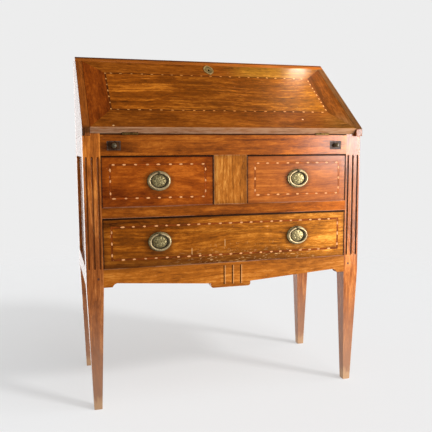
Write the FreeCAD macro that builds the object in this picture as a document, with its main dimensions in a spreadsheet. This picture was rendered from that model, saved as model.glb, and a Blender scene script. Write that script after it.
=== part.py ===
# Slant-front writing desk: tapered legs, a fall front carried by two lopers, two short drawers over
# a long one with ring pulls, and pigeonholes with two small drawers behind the fall front.
# Millimetres. +Z is up and -Y is the front. The origin is under the middle of the desk, on the floor.
import FreeCAD
import Part
import Sketcher
import math
import os
from types import SimpleNamespace

driving_sizes = {
    # Case and top
    "case_width": 820,
    "case_depth": 396,
    "bed_height": 770,
    "bed_thickness": 18,
    "hood_height": 238,
    "top_depth": 121,
    "top_thickness": 14,
    "back_setback": 4,
    "back_thickness": 12,
    # Legs, with the flutes on the front posts
    "post_width": 46,
    "foot_width": 22,
    "flute_width": 6,
    "flute_pitch": 15.5,
    "flute_margin": 3,
    # Front rails, from the top down, and the openings between them
    "rail_thickness": 24,
    "loper_rail_height": 59,
    "upper_opening_height": 140,
    "middle_rail_height": 30,
    "long_opening_height": 139,
    "centre_post_width": 99,
    # Tenons and the pegs that lock the apron's tenons
    "tenon_length": 24,
    "tenon_thickness": 8,
    "tenon_shoulder": 5,
    "peg_radius": 3.5,
    "peg_inset": 14,
    "peg_drop": 26,
    "peg_length": 30,
    # Apron: how far each part of its lower edge hangs below its top edge
    "bracket_drop": 51,
    "bracket_width": 24,
    "bracket_cove_width": 12.5,
    "apron_end_drop": 40.5,
    "apron_middle_drop": 59.5,
    "tablet_drop": 73,
    "tablet_width": 120,
    "tablet_corner_radius": 8,
    "tablet_groove_radius": 1.6,
    "tablet_groove_pitch": 25,
    "tablet_groove_shift": 4.5,
    "tablet_groove_margin": 9,
    # Sides: framed panels below, gables above
    "side_rail_thickness": 20,
    "side_upper_rail_height": 56,
    "panel_recess": 8,
    "panel_thickness": 10,
    "panel_tongue": 8,
    "gable_thickness": 20,
    "gable_drop": 6,
    # Fall front
    "lid_thickness": 20,
    "lid_side_gap": 0.6,
    "lid_hinge_gap": 0.6,
    "lid_top_gap": 1,
    "lid_side_border": 60,
    "lid_top_border": 62,
    "lid_bottom_border": 82,
    # Stringing on the fall front and on the drawers
    "inlay_width": 5,
    "inlay_depth": 1.2,
    "drawer_inlay_inset": 21,
    # Butt hinges of the fall front
    "hinge_inset": 126.5,
    "hinge_width": 43,
    "hinge_leaf_depth": 20,
    "hinge_leaf_thickness": 2,
    "knuckle_radius": 3.5,
    "knuckle_gap": 0.4,
    "hinge_pin_radius": 1.5,
    "hinge_pin_clearance": 0.05,
    # Lock, keyhole plate and the rail that takes the bolt
    "lock_width": 60,
    "lock_height": 38,
    "lock_thickness": 11,
    "bolt_width": 24,
    "bolt_thickness": 5,
    "bolt_length": 29,
    "bolt_setback": 0.5,
    "bolt_throw": 8,
    "bolt_clearance": 0.3,
    "mortise_clearance": 0.8,
    "key_drop": 28,
    "keyhole_radius": 3,
    "keyhole_slot_width": 3,
    "keyhole_slot_length": 9,
    "escutcheon_width": 32,
    "escutcheon_height": 56,
    "escutcheon_thickness": 1.5,
    "lock_rail_depth": 40,
    "lock_rail_gap": 0.8,
    "stop_lip_width": 10,
    "stop_lip_thickness": 8,
    "stop_clearance": 0.4,
    # Lopers, their knobs and housings
    "loper_width": 36,
    "loper_height": 24,
    "loper_rear_gap": 20,
    "loper_inset": 82,
    "loper_clearance": 0.5,
    "loper_lid_clearance": 0.4,
    "loper_knob_radius": 7,
    "loper_knob_length": 16,
    "loper_knob_flange_radius": 6,
    "loper_knob_flange_thickness": 2,
    "loper_knob_stem_radius": 2.5,
    "loper_knob_stem_depth": 8,
    "housing_wall": 12,
    # Drawers and what they run on
    "drawer_rear_gap": 23,
    "drawer_front_thickness": 20,
    "drawer_side_thickness": 10,
    "drawer_side_drop": 8,
    "dovetail_length": 13,
    "dovetail_width": 20,
    "dovetail_flare": 2.5,
    "drawer_back_thickness": 10,
    "drawer_bottom_thickness": 7,
    "drawer_bottom_rise": 9,
    "drawer_groove_depth": 5,
    "drawer_side_gap": 1,
    "drawer_top_gap": 1.2,
    "drawer_lift": 0.3,
    "runner_width": 24,
    "runner_thickness": 12,
    "guide_height": 30,
    "centre_guide_thickness": 16,
    # Ring pulls
    "plate_width": 66,
    "plate_height": 55,
    "plate_end_radius": 22,
    "plate_thickness": 1.6,
    "medallion_width": 40,
    "medallion_height": 34,
    "medallion_rise": 5,
    "ring_width": 60,
    "ring_height": 49,
    "ring_end_radius": 18.5,
    "ring_wire_radius": 2.4,
    "ring_hole_clearance": 0.8,
    "ring_standoff": 7,
    "eye_radius": 6,
    "stem_radius": 2,
    "nut_radius": 5,
    "nut_thickness": 4,
    # Pigeonholes and small drawers; the shares are of the height inside the hood
    "fitting_depth": 150,
    "shelf_thickness": 8,
    "divider_thickness": 8,
    "centre_bay_width": 250,
    "small_drawer_share": 0.3125,
    "pigeonhole_share": 0.32,
    "small_drawer_setback": 2,
    "small_drawer_rear_gap": 6,
    "small_drawer_front_thickness": 10,
    "small_drawer_wall": 5,
    "small_drawer_bottom_thickness": 4,
    "small_drawer_wall_drop": 6,
    "small_drawer_gap": 0.6,
    "small_drawer_lift": 0.3,
    "small_knob_radius": 6,
    "small_knob_stem_radius": 2.5,
    "small_knob_stem_length": 6,
}

document = FreeCAD.newDocument("WritingDesk")
sheet = document.addObject("Spreadsheet::Sheet", "Sizes")
for row, (alias, number) in enumerate(driving_sizes.items(), start=1):
    sheet.set(f"A{row}", alias)
    sheet.set(f"B{row}", str(number))
    sheet.setAlias(f"B{row}", alias)
document.recompute()


class Size:
    """A size worked out from the sheet: its expression and the value that it has now."""

    def __init__(self, text, value):
        self.text = text
        self.value = value

    def __add__(self, other):
        other = as_size(other)
        return Size(f"({self.text} + {other.text})", self.value + other.value)

    def __sub__(self, other):
        other = as_size(other)
        return Size(f"({self.text} - {other.text})", self.value - other.value)

    def __mul__(self, other):
        other = as_size(other)
        return Size(f"({self.text} * {other.text})", self.value * other.value)

    def __truediv__(self, other):
        other = as_size(other)
        return Size(f"({self.text} / {other.text})", self.value / other.value)

    def __radd__(self, other):
        return as_size(other) + self

    def __rsub__(self, other):
        return as_size(other) - self

    def __rmul__(self, other):
        return as_size(other) * self

    def __neg__(self):
        return as_size(0) - self


def as_size(number):
    return number if isinstance(number, Size) else Size(f"({number})", number)


def root(size):
    return Size(f"sqrt({size.text})", math.sqrt(size.value))


def sine(angle):
    return Size(f"sin({angle.text})", math.sin(math.radians(angle.value)))


def cosine(angle):
    return Size(f"cos({angle.text})", math.cos(math.radians(angle.value)))


def arc_sine(ratio):
    return Size(f"asin({ratio.text})", math.degrees(math.asin(ratio.value)))


def arc_tangent(ratio):
    return Size(f"atan({ratio.text})", math.degrees(math.atan(ratio.value)))


desk = SimpleNamespace(**{alias: Size(f"Sizes.{alias}", number) for alias, number in driving_sizes.items()})

# Turns that lay a cylinder's axis along each direction
along = {
    "x": FreeCAD.Rotation(FreeCAD.Vector(0, 1, 0), 90),
    "y": FreeCAD.Rotation(FreeCAD.Vector(1, 0, 0), -90),
    "z": FreeCAD.Rotation(),
}


def bind(piece, **sizes):
    for name, size in sizes.items():
        piece.setExpression(name, as_size(size).text)


def place(piece, x, y, z):
    for axis, size in zip("xyz", (x, y, z)):
        piece.setExpression(f"Placement.Base.{axis}", as_size(size).text)


def board(name, x, y, z, width, depth, height):
    piece = document.addObject("Part::Box", name)
    bind(piece, Length=width, Width=depth, Height=height)
    place(piece, x, y, z)
    return piece


def rod(name, axis, x, y, z, radius, length):
    piece = document.addObject("Part::Cylinder", name)
    piece.Placement.Rotation = along[axis]
    bind(piece, Radius=radius, Height=length)
    place(piece, x, y, z)
    return piece


def ball(name, x, y, z, radius):
    piece = document.addObject("Part::Sphere", name)
    bind(piece, Radius=radius)
    place(piece, x, y, z)
    return piece


def fuse(name, *pieces):
    piece = document.addObject("Part::MultiFuse", name)
    piece.Shapes = list(pieces)
    piece.Refine = True
    return piece


def cut(name, base, *tools):
    piece = document.addObject("Part::Cut", name)
    piece.Base = base
    piece.Tool = tools[0] if len(tools) == 1 else fuse(f"{name}_cutters", *tools)
    piece.Refine = True
    return piece


def group(name, *pieces):
    piece = document.addObject("Part::Compound", name)
    piece.Links = list(pieces)
    return piece


def new_sketch(body, plane, name):
    sketch = body.newObject("Sketcher::SketchObject", name)
    support = next(feature for feature in body.Origin.OriginFeatures if feature.Role == plane)
    sketch.AttachmentSupport = (support, [""])
    sketch.MapMode = "FlatFace"
    return sketch


def arc_between(start, end, bend):
    """The lesser arc from start to end with radius |bend|, turning left where bend is positive."""
    chord = end - start
    to_centre = FreeCAD.Vector(-chord.y, chord.x, 0).normalize()
    rise = math.sqrt(bend * bend - chord.Length * chord.Length / 4)
    centre = (start + end) / 2 + to_centre * math.copysign(rise, bend)
    first, last = (start, end) if bend > 0 else (end, start)
    angles = [math.atan2(point.y - centre.y, point.x - centre.x) for point in (first, last)]
    circle = Part.Circle(centre, FreeCAD.Vector(0, 0, 1), abs(bend))
    return Part.ArcOfCircle(circle, *angles)


def draw_outline(sketch, corners):
    """Close an outline through corners (across, up), or (across, up, bend) where an arc leaves the corner."""
    points = [FreeCAD.Vector(as_size(corner[0]).value, as_size(corner[1]).value) for corner in corners]
    starts = []
    ends = []
    for index, corner in enumerate(corners):
        start = points[index]
        end = points[(index + 1) % len(points)]
        if len(corner) == 2:
            edge = sketch.addGeometry(Part.LineSegment(start, end))
            first, last = 1, 2
        else:
            bend = corner[2]
            edge = sketch.addGeometry(arc_between(start, end, bend.value))
            first, last = (1, 2) if bend.value > 0 else (2, 1)
            radius = bend if bend.value > 0 else -bend
            datum = sketch.addConstraint(Sketcher.Constraint("Radius", edge, radius.value))
            sketch.setExpression(f"Constraints[{datum}]", radius.text)
        starts.append((edge, first))
        ends.append((edge, last))
    for index, corner in enumerate(corners):
        sketch.addConstraint(Sketcher.Constraint("Coincident", *ends[index - 1], *starts[index]))
        for kind, size in zip(("DistanceX", "DistanceY"), corner[:2]):
            size = as_size(size)
            datum = sketch.addConstraint(Sketcher.Constraint(kind, -1, 1, *starts[index], size.value))
            sketch.setExpression(f"Constraints[{datum}]", size.text)


def square_corners(width):
    half = width / 2
    return [(-half, -half), (half, -half), (half, half), (-half, half)]


def oval_corners(width, height, end_radius):
    """An oval of four tangent arcs, starting from the middle of its right end."""
    long_half = width / 2
    short_half = height / 2
    reach = long_half - end_radius
    rise = short_half - end_radius
    drop = (reach * reach - rise * rise) / (2 * rise)
    slant = root(reach * reach + drop * drop)
    joint_x = reach + end_radius * reach / slant
    joint_y = end_radius * drop / slant
    side_radius = short_half + drop
    return [
        (long_half, 0, end_radius),
        (joint_x, joint_y, side_radius),
        (-joint_x, joint_y, end_radius),
        (-joint_x, -joint_y, side_radius),
        (joint_x, -joint_y, end_radius),
    ]


def prism(name, plane, corners, length, x, y, z):
    """A board sawn to an outline: XZ outlines are extruded to the back, YZ ones to the right, XY ones up."""
    body = document.addObject("PartDesign::Body", name)
    sketch = new_sketch(body, plane, f"{name}_outline")
    draw_outline(sketch, corners)
    pad = body.newObject("PartDesign::Pad", f"{name}_board")
    pad.Profile = sketch
    pad.Reversed = plane == "XZ_Plane"
    bind(pad, Length=length)
    place(body, x, y, z)
    return body


nodes = []


def keep(piece):
    """Count a finished piece among the desk's nodes."""
    nodes.append(piece)
    return piece


# Levels and faces that several pieces share
front_y = (desk.loper_knob_length - desk.case_depth) / 2
back_y = front_y + desk.case_depth
half_width = desk.case_width / 2
inner_half = half_width - desk.post_width
inner_width = 2 * inner_half
rail_back_y = front_y + desk.rail_thickness
post_back_y = front_y + desk.post_width
rear_post_y = back_y - desk.post_width
panel_back_y = back_y - desk.back_setback
back_front_y = panel_back_y - desk.back_thickness
rear_rail_y = panel_back_y - desk.rail_thickness
case_height = desk.bed_height + desk.hood_height
top_under = case_height - desk.top_thickness
bed_under = desk.bed_height - desk.bed_thickness
upper_top = desk.bed_height - desk.loper_rail_height
upper_bottom = upper_top - desk.upper_opening_height
long_top = upper_bottom - desk.middle_rail_height
apron_top = long_top - desk.long_opening_height
taper_top = apron_top - desk.bracket_drop
gable_bottom = desk.bed_height - desk.gable_drop
gable_inner = half_width - desk.gable_thickness
side_signs = {"left": -1, "right": 1}


def beside(sign, distance, width):
    """The low X of a piece of this width whose outer face is this far from the middle, on either side."""
    return distance - width if sign > 0 else -distance


# Slope of the fall front: its inner face passes through the hinge axis, and its outer face through
# the front arris of the top board
slope_run = desk.case_depth - desk.top_depth
slope_reach = root(desk.hood_height * desk.hood_height + slope_run * slope_run)
slope = arc_tangent(desk.hood_height / slope_run) - arc_sine(desk.lid_thickness / slope_reach)
slope_cosine = cosine(slope)
slope_sine = sine(slope)


def slope_y(up, out):
    """Y of a point that lies up the slope from the hinge axis and out from the lid's inner face."""
    return front_y + up * slope_cosine - out * slope_sine


def slope_z(up, out):
    return desk.bed_height + up * slope_sine + out * slope_cosine


def lay_on_slope(piece, x, up, out):
    """Place a piece whose own Y runs up the slope and whose own Z points out of the lid."""
    piece.Placement.Rotation = FreeCAD.Rotation(FreeCAD.Vector(1, 0, 0), slope.value)
    piece.setExpression("Placement.Rotation.Angle", slope.text)
    place(piece, x, slope_y(up, out), slope_z(up, out))
    return piece


def slope_board(name, x, up, out, width, length, thickness):
    return lay_on_slope(board(name, x, 0, 0, width, length, thickness), x, up, out)


def slope_prism(name, corners, out, thickness):
    return lay_on_slope(prism(name, "XY_Plane", corners, thickness, 0, 0, 0), as_size(0), as_size(0), out)


lid_length = (top_under - desk.bed_height - desk.lid_thickness * slope_cosine) / slope_sine - desk.lid_top_gap
lid_half = gable_inner - desk.lid_side_gap
slope_top_y = front_y + slope_run
slope_under_y = slope_top_y - desk.top_thickness * slope_cosine / slope_sine
lip_y = slope_y(as_size(0), desk.lid_thickness)
lip_z = slope_z(as_size(0), desk.lid_thickness)


# Front rails, tenoned into the front posts
def tenoned(name, rail, y, bottom, height):
    """Add a tenon to each end of a rail that fills the width between the posts."""
    tenon_y = y + (desk.rail_thickness - desk.tenon_thickness) / 2
    tenon_bottom = bottom + desk.tenon_shoulder
    tenon_height = height - 2 * desk.tenon_shoulder
    tenon_end = inner_half + desk.tenon_length
    tenons = [
        board(f"{name}_{side}_tenon", beside(sign, tenon_end, desk.tenon_length), tenon_y, tenon_bottom,
              desk.tenon_length, desk.tenon_thickness, tenon_height)
        for side, sign in side_signs.items()
    ]
    return fuse(name, rail, *tenons)


def straight_rail(name, y, bottom, height):
    rail = board(f"{name}_bar", -inner_half, y, bottom, inner_width, desk.rail_thickness, height)
    return tenoned(name, rail, y, bottom, height)


middle_rail = keep(straight_rail("middle_rail", front_y, long_top, desk.middle_rail_height))
rear_rail = keep(straight_rail("rear_rail", rear_rail_y, taper_top, desk.bracket_drop))

# Apron: brackets at the ends, a tablet with three grooves in the middle
bracket_inner = inner_half - desk.bracket_width
cove_end = bracket_inner - desk.bracket_cove_width
cove_height = desk.bracket_drop - desk.apron_end_drop
cove_radius = root(desk.bracket_cove_width * desk.bracket_cove_width + cove_height * cove_height)
apron_end_z = apron_top - desk.apron_end_drop
apron_middle_z = apron_top - desk.apron_middle_drop
tablet_bottom = apron_top - desk.tablet_drop
tablet_half = desk.tablet_width / 2
corner = desk.tablet_corner_radius
apron_corners = [
    (-inner_half, taper_top),
    (-bracket_inner, taper_top, -cove_radius),
    (-cove_end, apron_end_z),
    (-tablet_half, apron_middle_z),
    (-tablet_half, tablet_bottom + corner, corner),
    (-tablet_half + corner, tablet_bottom),
    (tablet_half - corner, tablet_bottom, corner),
    (tablet_half, tablet_bottom + corner),
    (tablet_half, apron_middle_z),
    (cove_end, apron_end_z, -cove_radius),
    (bracket_inner, taper_top),
    (inner_half, taper_top),
    (inner_half, apron_top),
    (-inner_half, apron_top),
]
apron_board = prism("apron_board", "XZ_Plane", apron_corners, desk.rail_thickness, 0, front_y, 0)
apron_blank = tenoned("apron_blank", apron_board, front_y, taper_top, desk.bracket_drop)
groove_length = desk.tablet_drop - 2 * desk.tablet_groove_margin
groove_bottom = tablet_bottom + desk.tablet_groove_margin
tablet_grooves = [
    rod(f"tablet_groove_{groove}", "z", desk.tablet_groove_shift + groove * desk.tablet_groove_pitch,
        front_y, groove_bottom, desk.tablet_groove_radius, groove_length)
    for groove in (-1, 0, 1)
]
joint_pegs = keep(group("joint_pegs", *[
    rod(f"{side}_peg", "y", sign * (inner_half + desk.peg_inset), front_y, apron_top - desk.peg_drop,
        desk.peg_radius, desk.peg_length)
    for side, sign in side_signs.items()
]))
apron = keep(cut("apron", apron_blank, joint_pegs, *tablet_grooves))

# Butt hinges: the bed's leaves carry the pins and the outer knuckles, the lid's leaves the middle ones
middle_knuckle = desk.hinge_width / 3
knuckle_room = desk.knuckle_radius + desk.knuckle_gap
hinge_places = {
    side: sign * (half_width - desk.hinge_inset) - desk.hinge_width / 2 for side, sign in side_signs.items()
}


def hinge_rod(name, hinge_x, start, length, radius):
    return rod(name, "x", hinge_x + start, front_y, desk.bed_height, radius, length)


def bed_leaf(side, hinge_x):
    leaf = board(f"{side}_bed_leaf_plate", hinge_x, front_y, desk.bed_height - desk.hinge_leaf_thickness,
                 desk.hinge_width, desk.hinge_leaf_depth, desk.hinge_leaf_thickness)
    room = hinge_rod(f"{side}_bed_leaf_room", hinge_x, middle_knuckle - desk.knuckle_gap,
                     middle_knuckle + 2 * desk.knuckle_gap, knuckle_room)
    knuckle_length = middle_knuckle - desk.knuckle_gap
    near = hinge_rod(f"{side}_near_knuckle", hinge_x, 0, knuckle_length, desk.knuckle_radius)
    far = hinge_rod(f"{side}_far_knuckle", hinge_x, desk.hinge_width - knuckle_length, knuckle_length,
                    desk.knuckle_radius)
    pin = hinge_rod(f"{side}_hinge_pin", hinge_x, 0, desk.hinge_width, desk.hinge_pin_radius)
    return fuse(f"{side}_bed_leaf", cut(f"{side}_bed_leaf_flat", leaf, room), near, far, pin)


def lid_leaf(side, hinge_x):
    leaf = slope_board(f"{side}_lid_leaf_plate", hinge_x, as_size(0), as_size(0), desk.hinge_width,
                       desk.hinge_leaf_depth, desk.hinge_leaf_thickness)
    knuckle = hinge_rod(f"{side}_middle_knuckle", hinge_x, middle_knuckle, middle_knuckle,
                        desk.knuckle_radius)
    rooms = [
        hinge_rod(f"{side}_lid_leaf_room_{end}", hinge_x, start, middle_knuckle, knuckle_room)
        for end, start in (("near", as_size(0)), ("far", 2 * middle_knuckle))
    ]
    bore = hinge_rod(f"{side}_knuckle_bore", hinge_x, 0, desk.hinge_width,
                     desk.hinge_pin_radius + desk.hinge_pin_clearance)
    return cut(f"{side}_lid_leaf", fuse(f"{side}_lid_leaf_blank", leaf, knuckle), *rooms, bore)


bed_leaves = [bed_leaf(side, hinge_x) for side, hinge_x in hinge_places.items()]
lid_leaves = [lid_leaf(side, hinge_x) for side, hinge_x in hinge_places.items()]
knuckle_rooms = [
    hinge_rod(f"{side}_knuckle_room", hinge_x, -desk.knuckle_gap, desk.hinge_width + 2 * desk.knuckle_gap,
              knuckle_room)
    for side, hinge_x in hinge_places.items()
]
keep(group("hinge_bed_leaves", *bed_leaves))
keep(group("hinge_lid_leaves", *lid_leaves))

# Loper rail: the top front rail, with a slot for each loper and seats for the hinges
loper_top = desk.bed_height - desk.lid_thickness - desk.loper_lid_clearance
loper_bottom = loper_top - desk.loper_height
loper_places = {side: sign * (half_width - desk.loper_inset) for side, sign in side_signs.items()}
slot_width = desk.loper_width + 2 * desk.loper_clearance
slot_height = desk.loper_height + 2 * desk.loper_clearance
loper_slots = [
    board(f"{side}_loper_slot", loper_x - slot_width / 2, front_y, loper_bottom - desk.loper_clearance,
          slot_width, desk.rail_thickness, slot_height)
    for side, loper_x in loper_places.items()
]
loper_rail_blank = straight_rail("loper_rail_blank", front_y, upper_top, desk.loper_rail_height)
keep(cut("loper_rail", loper_rail_blank, *loper_slots, *bed_leaves, *knuckle_rooms))

# Centre post: the fixed upright block between the two upper drawers
centre_half = desk.centre_post_width / 2
keep(board("centre_post", -centre_half, front_y, upper_bottom, desk.centre_post_width, desk.rail_thickness,
           desk.upper_opening_height))

# Sides: a lower and an upper rail hold a panel that stands back from the posts, and a gable stands on top
side_depth = desk.case_depth - 2 * desk.post_width
upper_rail_bottom = gable_bottom - desk.side_upper_rail_height
gable_corners = [
    (lip_y, gable_bottom),
    (rear_post_y, gable_bottom),
    (rear_post_y, top_under),
    (slope_under_y, top_under),
    (lip_y, lip_z),
]
side_panels = {}
gables = {}
for side, sign in side_signs.items():
    panel = board(
        f"{side}_side_panel",
        beside(sign, half_width - desk.panel_recess, desk.panel_thickness),
        post_back_y - desk.panel_tongue,
        apron_top - desk.panel_tongue,
        desk.panel_thickness,
        side_depth + 2 * desk.panel_tongue,
        upper_rail_bottom - apron_top + 2 * desk.panel_tongue,
    )
    side_panels[side] = keep(panel)
    rail_x = beside(sign, half_width, desk.side_rail_thickness)
    rails = [
        cut(f"{side}_side_{level}_rail",
            board(f"{side}_side_{level}_bar", rail_x, post_back_y, bottom, desk.side_rail_thickness,
                  side_depth, height),
            panel)
        for level, bottom, height in (
            ("lower", taper_top, desk.bracket_drop),
            ("upper", upper_rail_bottom, desk.side_upper_rail_height),
        )
    ]
    keep(group(f"{side}_side_rails", *rails))
    gable_x = beside(sign, half_width, desk.gable_thickness)
    gable = prism(f"{side}_gable", "YZ_Plane", gable_corners, desk.gable_thickness, gable_x, 0, 0)
    gables[side] = keep(gable)

# Legs: square posts above, tapering below the apron to a small foot
flute_radius = desk.flute_width / 2
flute_start = apron_top + flute_radius
flute_end = upper_top - desk.flute_margin - flute_radius


def leg_blank(name, x, y, top):
    body = document.addObject("PartDesign::Body", name)
    foot = new_sketch(body, "XY_Plane", f"{name}_foot")
    draw_outline(foot, square_corners(desk.foot_width))
    knee = new_sketch(body, "XY_Plane", f"{name}_knee")
    knee.setExpression("AttachmentOffset.Base.z", taper_top.text)
    draw_outline(knee, square_corners(desk.post_width))
    taper = body.newObject("PartDesign::AdditiveLoft", f"{name}_taper")
    taper.Profile = foot
    taper.Sections = [knee]
    post = body.newObject("PartDesign::Pad", f"{name}_post")
    post.Profile = knee
    bind(post, Length=top - taper_top)
    place(body, x, y, 0)
    return body


def flutes(side, post_x):
    """Three round-bottomed flutes with round ends on the front of a post."""
    cutters = []
    for flute in (-1, 0, 1):
        flute_x = post_x + flute * desk.flute_pitch
        name = f"{side}_flute_{flute}"
        cutters.append(rod(name, "z", flute_x, front_y, flute_start, flute_radius, flute_end - flute_start))
        for end, end_z in (("foot", flute_start), ("head", flute_end)):
            cutters.append(ball(f"{name}_{end}", flute_x, front_y, end_z, flute_radius))
    return cutters


rear_leg_blanks = []
front_leg_blanks = []
for side, sign in side_signs.items():
    post_x = sign * (half_width - desk.post_width / 2)
    blank = leg_blank(f"front_{side}_leg_blank", post_x, front_y + desk.post_width / 2, desk.bed_height)
    front_leg_blanks.append(blank)
    keep(cut(f"front_{side}_leg", blank, apron_blank, middle_rail, loper_rail_blank, side_panels[side],
             gables[side], joint_pegs, *flutes(side, post_x)))
    blank = leg_blank(f"rear_{side}_leg_blank", post_x, back_y - desk.post_width / 2, top_under)
    rear_leg_blanks.append(blank)
    keep(cut(f"rear_{side}_leg", blank, rear_rail, side_panels[side]))

# Top board, with its front edge sawn to the slope
top_corners = [(slope_under_y, top_under), (back_y, top_under), (back_y, case_height),
               (slope_top_y, case_height)]
keep(prism("top_board", "YZ_Plane", top_corners, desk.case_width, -half_width, 0, 0))

# Back panel, between the rear posts
keep(board("back_panel", -inner_half, back_front_y, apron_top, inner_width, desk.back_thickness,
           top_under - apron_top))

# Writing bed, notched round the four posts
bed_board = board("bed_board", -gable_inner, rail_back_y, bed_under, 2 * gable_inner,
                  back_front_y - rail_back_y, desk.bed_thickness)
keep(cut("writing_bed", bed_board, *front_leg_blanks, *rear_leg_blanks))

# Loper housings: a channel for each loper under the bed, which also keeps the upper drawers from tipping
housings = []
for side, loper_x in loper_places.items():
    outer_width = slot_width + 2 * desk.housing_wall
    housing_depth = rear_post_y - rail_back_y
    block = board(f"{side}_housing_block", loper_x - outer_width / 2, rail_back_y, upper_top, outer_width,
                  housing_depth, bed_under - upper_top)
    channel_bottom = loper_bottom - desk.loper_clearance
    channel = board(f"{side}_housing_channel", loper_x - slot_width / 2, rail_back_y, channel_bottom,
                    slot_width, housing_depth, bed_under - channel_bottom)
    housings.append(cut(f"{side}_housing", block, channel))
keep(group("loper_housings", *housings))

# Drawer runners, with a guide strip beside each drawer
side_face = half_width - desk.side_rail_thickness
guide_width = side_face - inner_half
runner_levels = {"long": (apron_top, rear_rail_y), "upper": (upper_bottom, back_front_y)}
runners = []
for side, sign in side_signs.items():
    for level, (runner_top, runner_end) in runner_levels.items():
        name = f"{level}_{side}_runner"
        runner_bottom = runner_top - desk.runner_thickness
        shelf = board(f"{name}_shelf", beside(sign, inner_half, desk.runner_width), rail_back_y,
                      runner_bottom, desk.runner_width, runner_end - rail_back_y, desk.runner_thickness)
        guide = board(f"{name}_guide", beside(sign, side_face, guide_width), post_back_y, runner_bottom,
                      guide_width, side_depth, desk.runner_thickness + desk.guide_height)
        runners.append(fuse(name, shelf, guide))
centre_shelf_width = desk.centre_post_width + 2 * desk.runner_width
centre_shelf = board("centre_runner_shelf", -centre_shelf_width / 2, rail_back_y,
                     upper_bottom - desk.runner_thickness, centre_shelf_width, back_front_y - rail_back_y,
                     desk.runner_thickness)
centre_guides = [
    board(f"centre_{side}_guide", beside(sign, centre_half, desk.centre_guide_thickness), rail_back_y,
          upper_bottom, desk.centre_guide_thickness, back_front_y - rail_back_y, desk.guide_height)
    for side, sign in side_signs.items()
]
runners.append(fuse("centre_runner", centre_shelf, *centre_guides))
keep(group("drawer_runners", *runners))

# Lock rail under the top board: a mortise for the bolt, and a lip that the closed lid rests on
rail_up = lid_length + desk.lock_rail_gap
lip_up = lid_length - desk.stop_lip_width
lip_bottom_out = -desk.stop_clearance - desk.stop_lip_thickness
rail_face_y = slope_y(rail_up, as_size(0))
rail_face_z = slope_z(rail_up, as_size(0))
rail_head_y = rail_face_y - (top_under - rail_face_z) * slope_sine / slope_cosine
lock_rail_back = rail_head_y + desk.lock_rail_depth
lock_rail_bottom = slope_z(lip_up, lip_bottom_out)
lock_rail_corners = [
    (rail_head_y, top_under),
    (slope_y(rail_up, -desk.stop_clearance), slope_z(rail_up, -desk.stop_clearance)),
    (slope_y(lip_up, -desk.stop_clearance), slope_z(lip_up, -desk.stop_clearance)),
    (slope_y(lip_up, lip_bottom_out), lock_rail_bottom),
    (lock_rail_back, lock_rail_bottom),
    (lock_rail_back, top_under),
]
lock_rail_board = prism("lock_rail_board", "YZ_Plane", lock_rail_corners, 2 * gable_inner, -gable_inner,
                        0, 0)
bolt_out = (desk.lock_thickness - desk.bolt_thickness) / 2
bolt_tip = lid_length - desk.bolt_setback
mortise_width = desk.bolt_width + 2 * desk.mortise_clearance
bolt_mortise = slope_board("bolt_mortise", -mortise_width / 2, lid_length, bolt_out - desk.mortise_clearance,
                           mortise_width, desk.bolt_throw + desk.mortise_clearance,
                           desk.bolt_thickness + 2 * desk.mortise_clearance)
keep(cut("lock_rail", lock_rail_board, bolt_mortise))

# Fall front: a panel in a mitred frame, with stringing let in round the panel
lid_foot = desk.lid_hinge_gap
field_half = lid_half - desk.lid_side_border
field_foot = desk.lid_bottom_border
field_head = lid_length - desk.lid_top_border
whole_lid = as_size(0)


def field_frame(name, half, foot, head):
    """A rectangular band of stringing with this outer edge, flush with the outer face of the lid."""
    depth_out = desk.lid_thickness - desk.inlay_depth
    outer = slope_board(f"{name}_outer", -half, foot, depth_out, 2 * half, head - foot, desk.inlay_depth)
    inner_half_width = half - desk.inlay_width
    inner = slope_board(f"{name}_inner", -inner_half_width, foot + desk.inlay_width, depth_out,
                        2 * inner_half_width, head - foot - 2 * desk.inlay_width, desk.inlay_depth)
    return cut(name, outer, inner)


lid_inlay = keep(field_frame("lid_inlay", field_half, field_foot, field_head))
panel_corners = [(-field_half, field_foot), (field_half, field_foot), (field_half, field_head),
                 (-field_half, field_head)]
lid_panel_board = slope_prism("lid_panel_board", panel_corners, whole_lid, desk.lid_thickness)
keep(cut("lid_panel", lid_panel_board, lid_inlay))
for side, sign in side_signs.items():
    stile_corners = [(sign * lid_half, lid_foot), (sign * field_half, field_foot),
                     (sign * field_half, field_head), (sign * lid_half, lid_length)]
    keep(slope_prism(f"lid_{side}_stile", stile_corners, whole_lid, desk.lid_thickness))
bottom_corners = [(-lid_half, lid_foot), (lid_half, lid_foot), (field_half, field_foot),
                  (-field_half, field_foot)]
bottom_board = slope_prism("lid_bottom_board", bottom_corners, whole_lid, desk.lid_thickness)
keep(cut("lid_bottom_rail", bottom_board, *lid_leaves, *knuckle_rooms))

# Lock in the lid: a case let into the inner face, its sliding bolt, and the keyhole with its plate
lock_foot = lid_length - desk.lock_height
lock_block = slope_board("lock_block", -desk.lock_width / 2, lock_foot, whole_lid, desk.lock_width,
                         desk.lock_height, desk.lock_thickness)
channel_width = desk.bolt_width + 2 * desk.bolt_clearance
channel_foot = bolt_tip - desk.bolt_length - desk.bolt_clearance
bolt_channel = slope_board("bolt_channel", -channel_width / 2, channel_foot, bolt_out - desk.bolt_clearance,
                           channel_width, lid_length - channel_foot,
                           desk.bolt_thickness + 2 * desk.bolt_clearance)
key_up = lid_length - desk.key_drop
key_out = bolt_out + desk.bolt_thickness
key_depth = desk.lid_thickness + desk.escutcheon_thickness - key_out
key_round = rod("key_round", "z", 0, 0, 0, desk.keyhole_radius, key_depth)
lay_on_slope(key_round, as_size(0), key_up, key_out)
key_slot = slope_board("key_slot", -desk.keyhole_slot_width / 2, key_up - desk.keyhole_slot_length, key_out,
                       desk.keyhole_slot_width, desk.keyhole_slot_length, key_depth)
keyhole = fuse("keyhole", key_round, key_slot)
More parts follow.
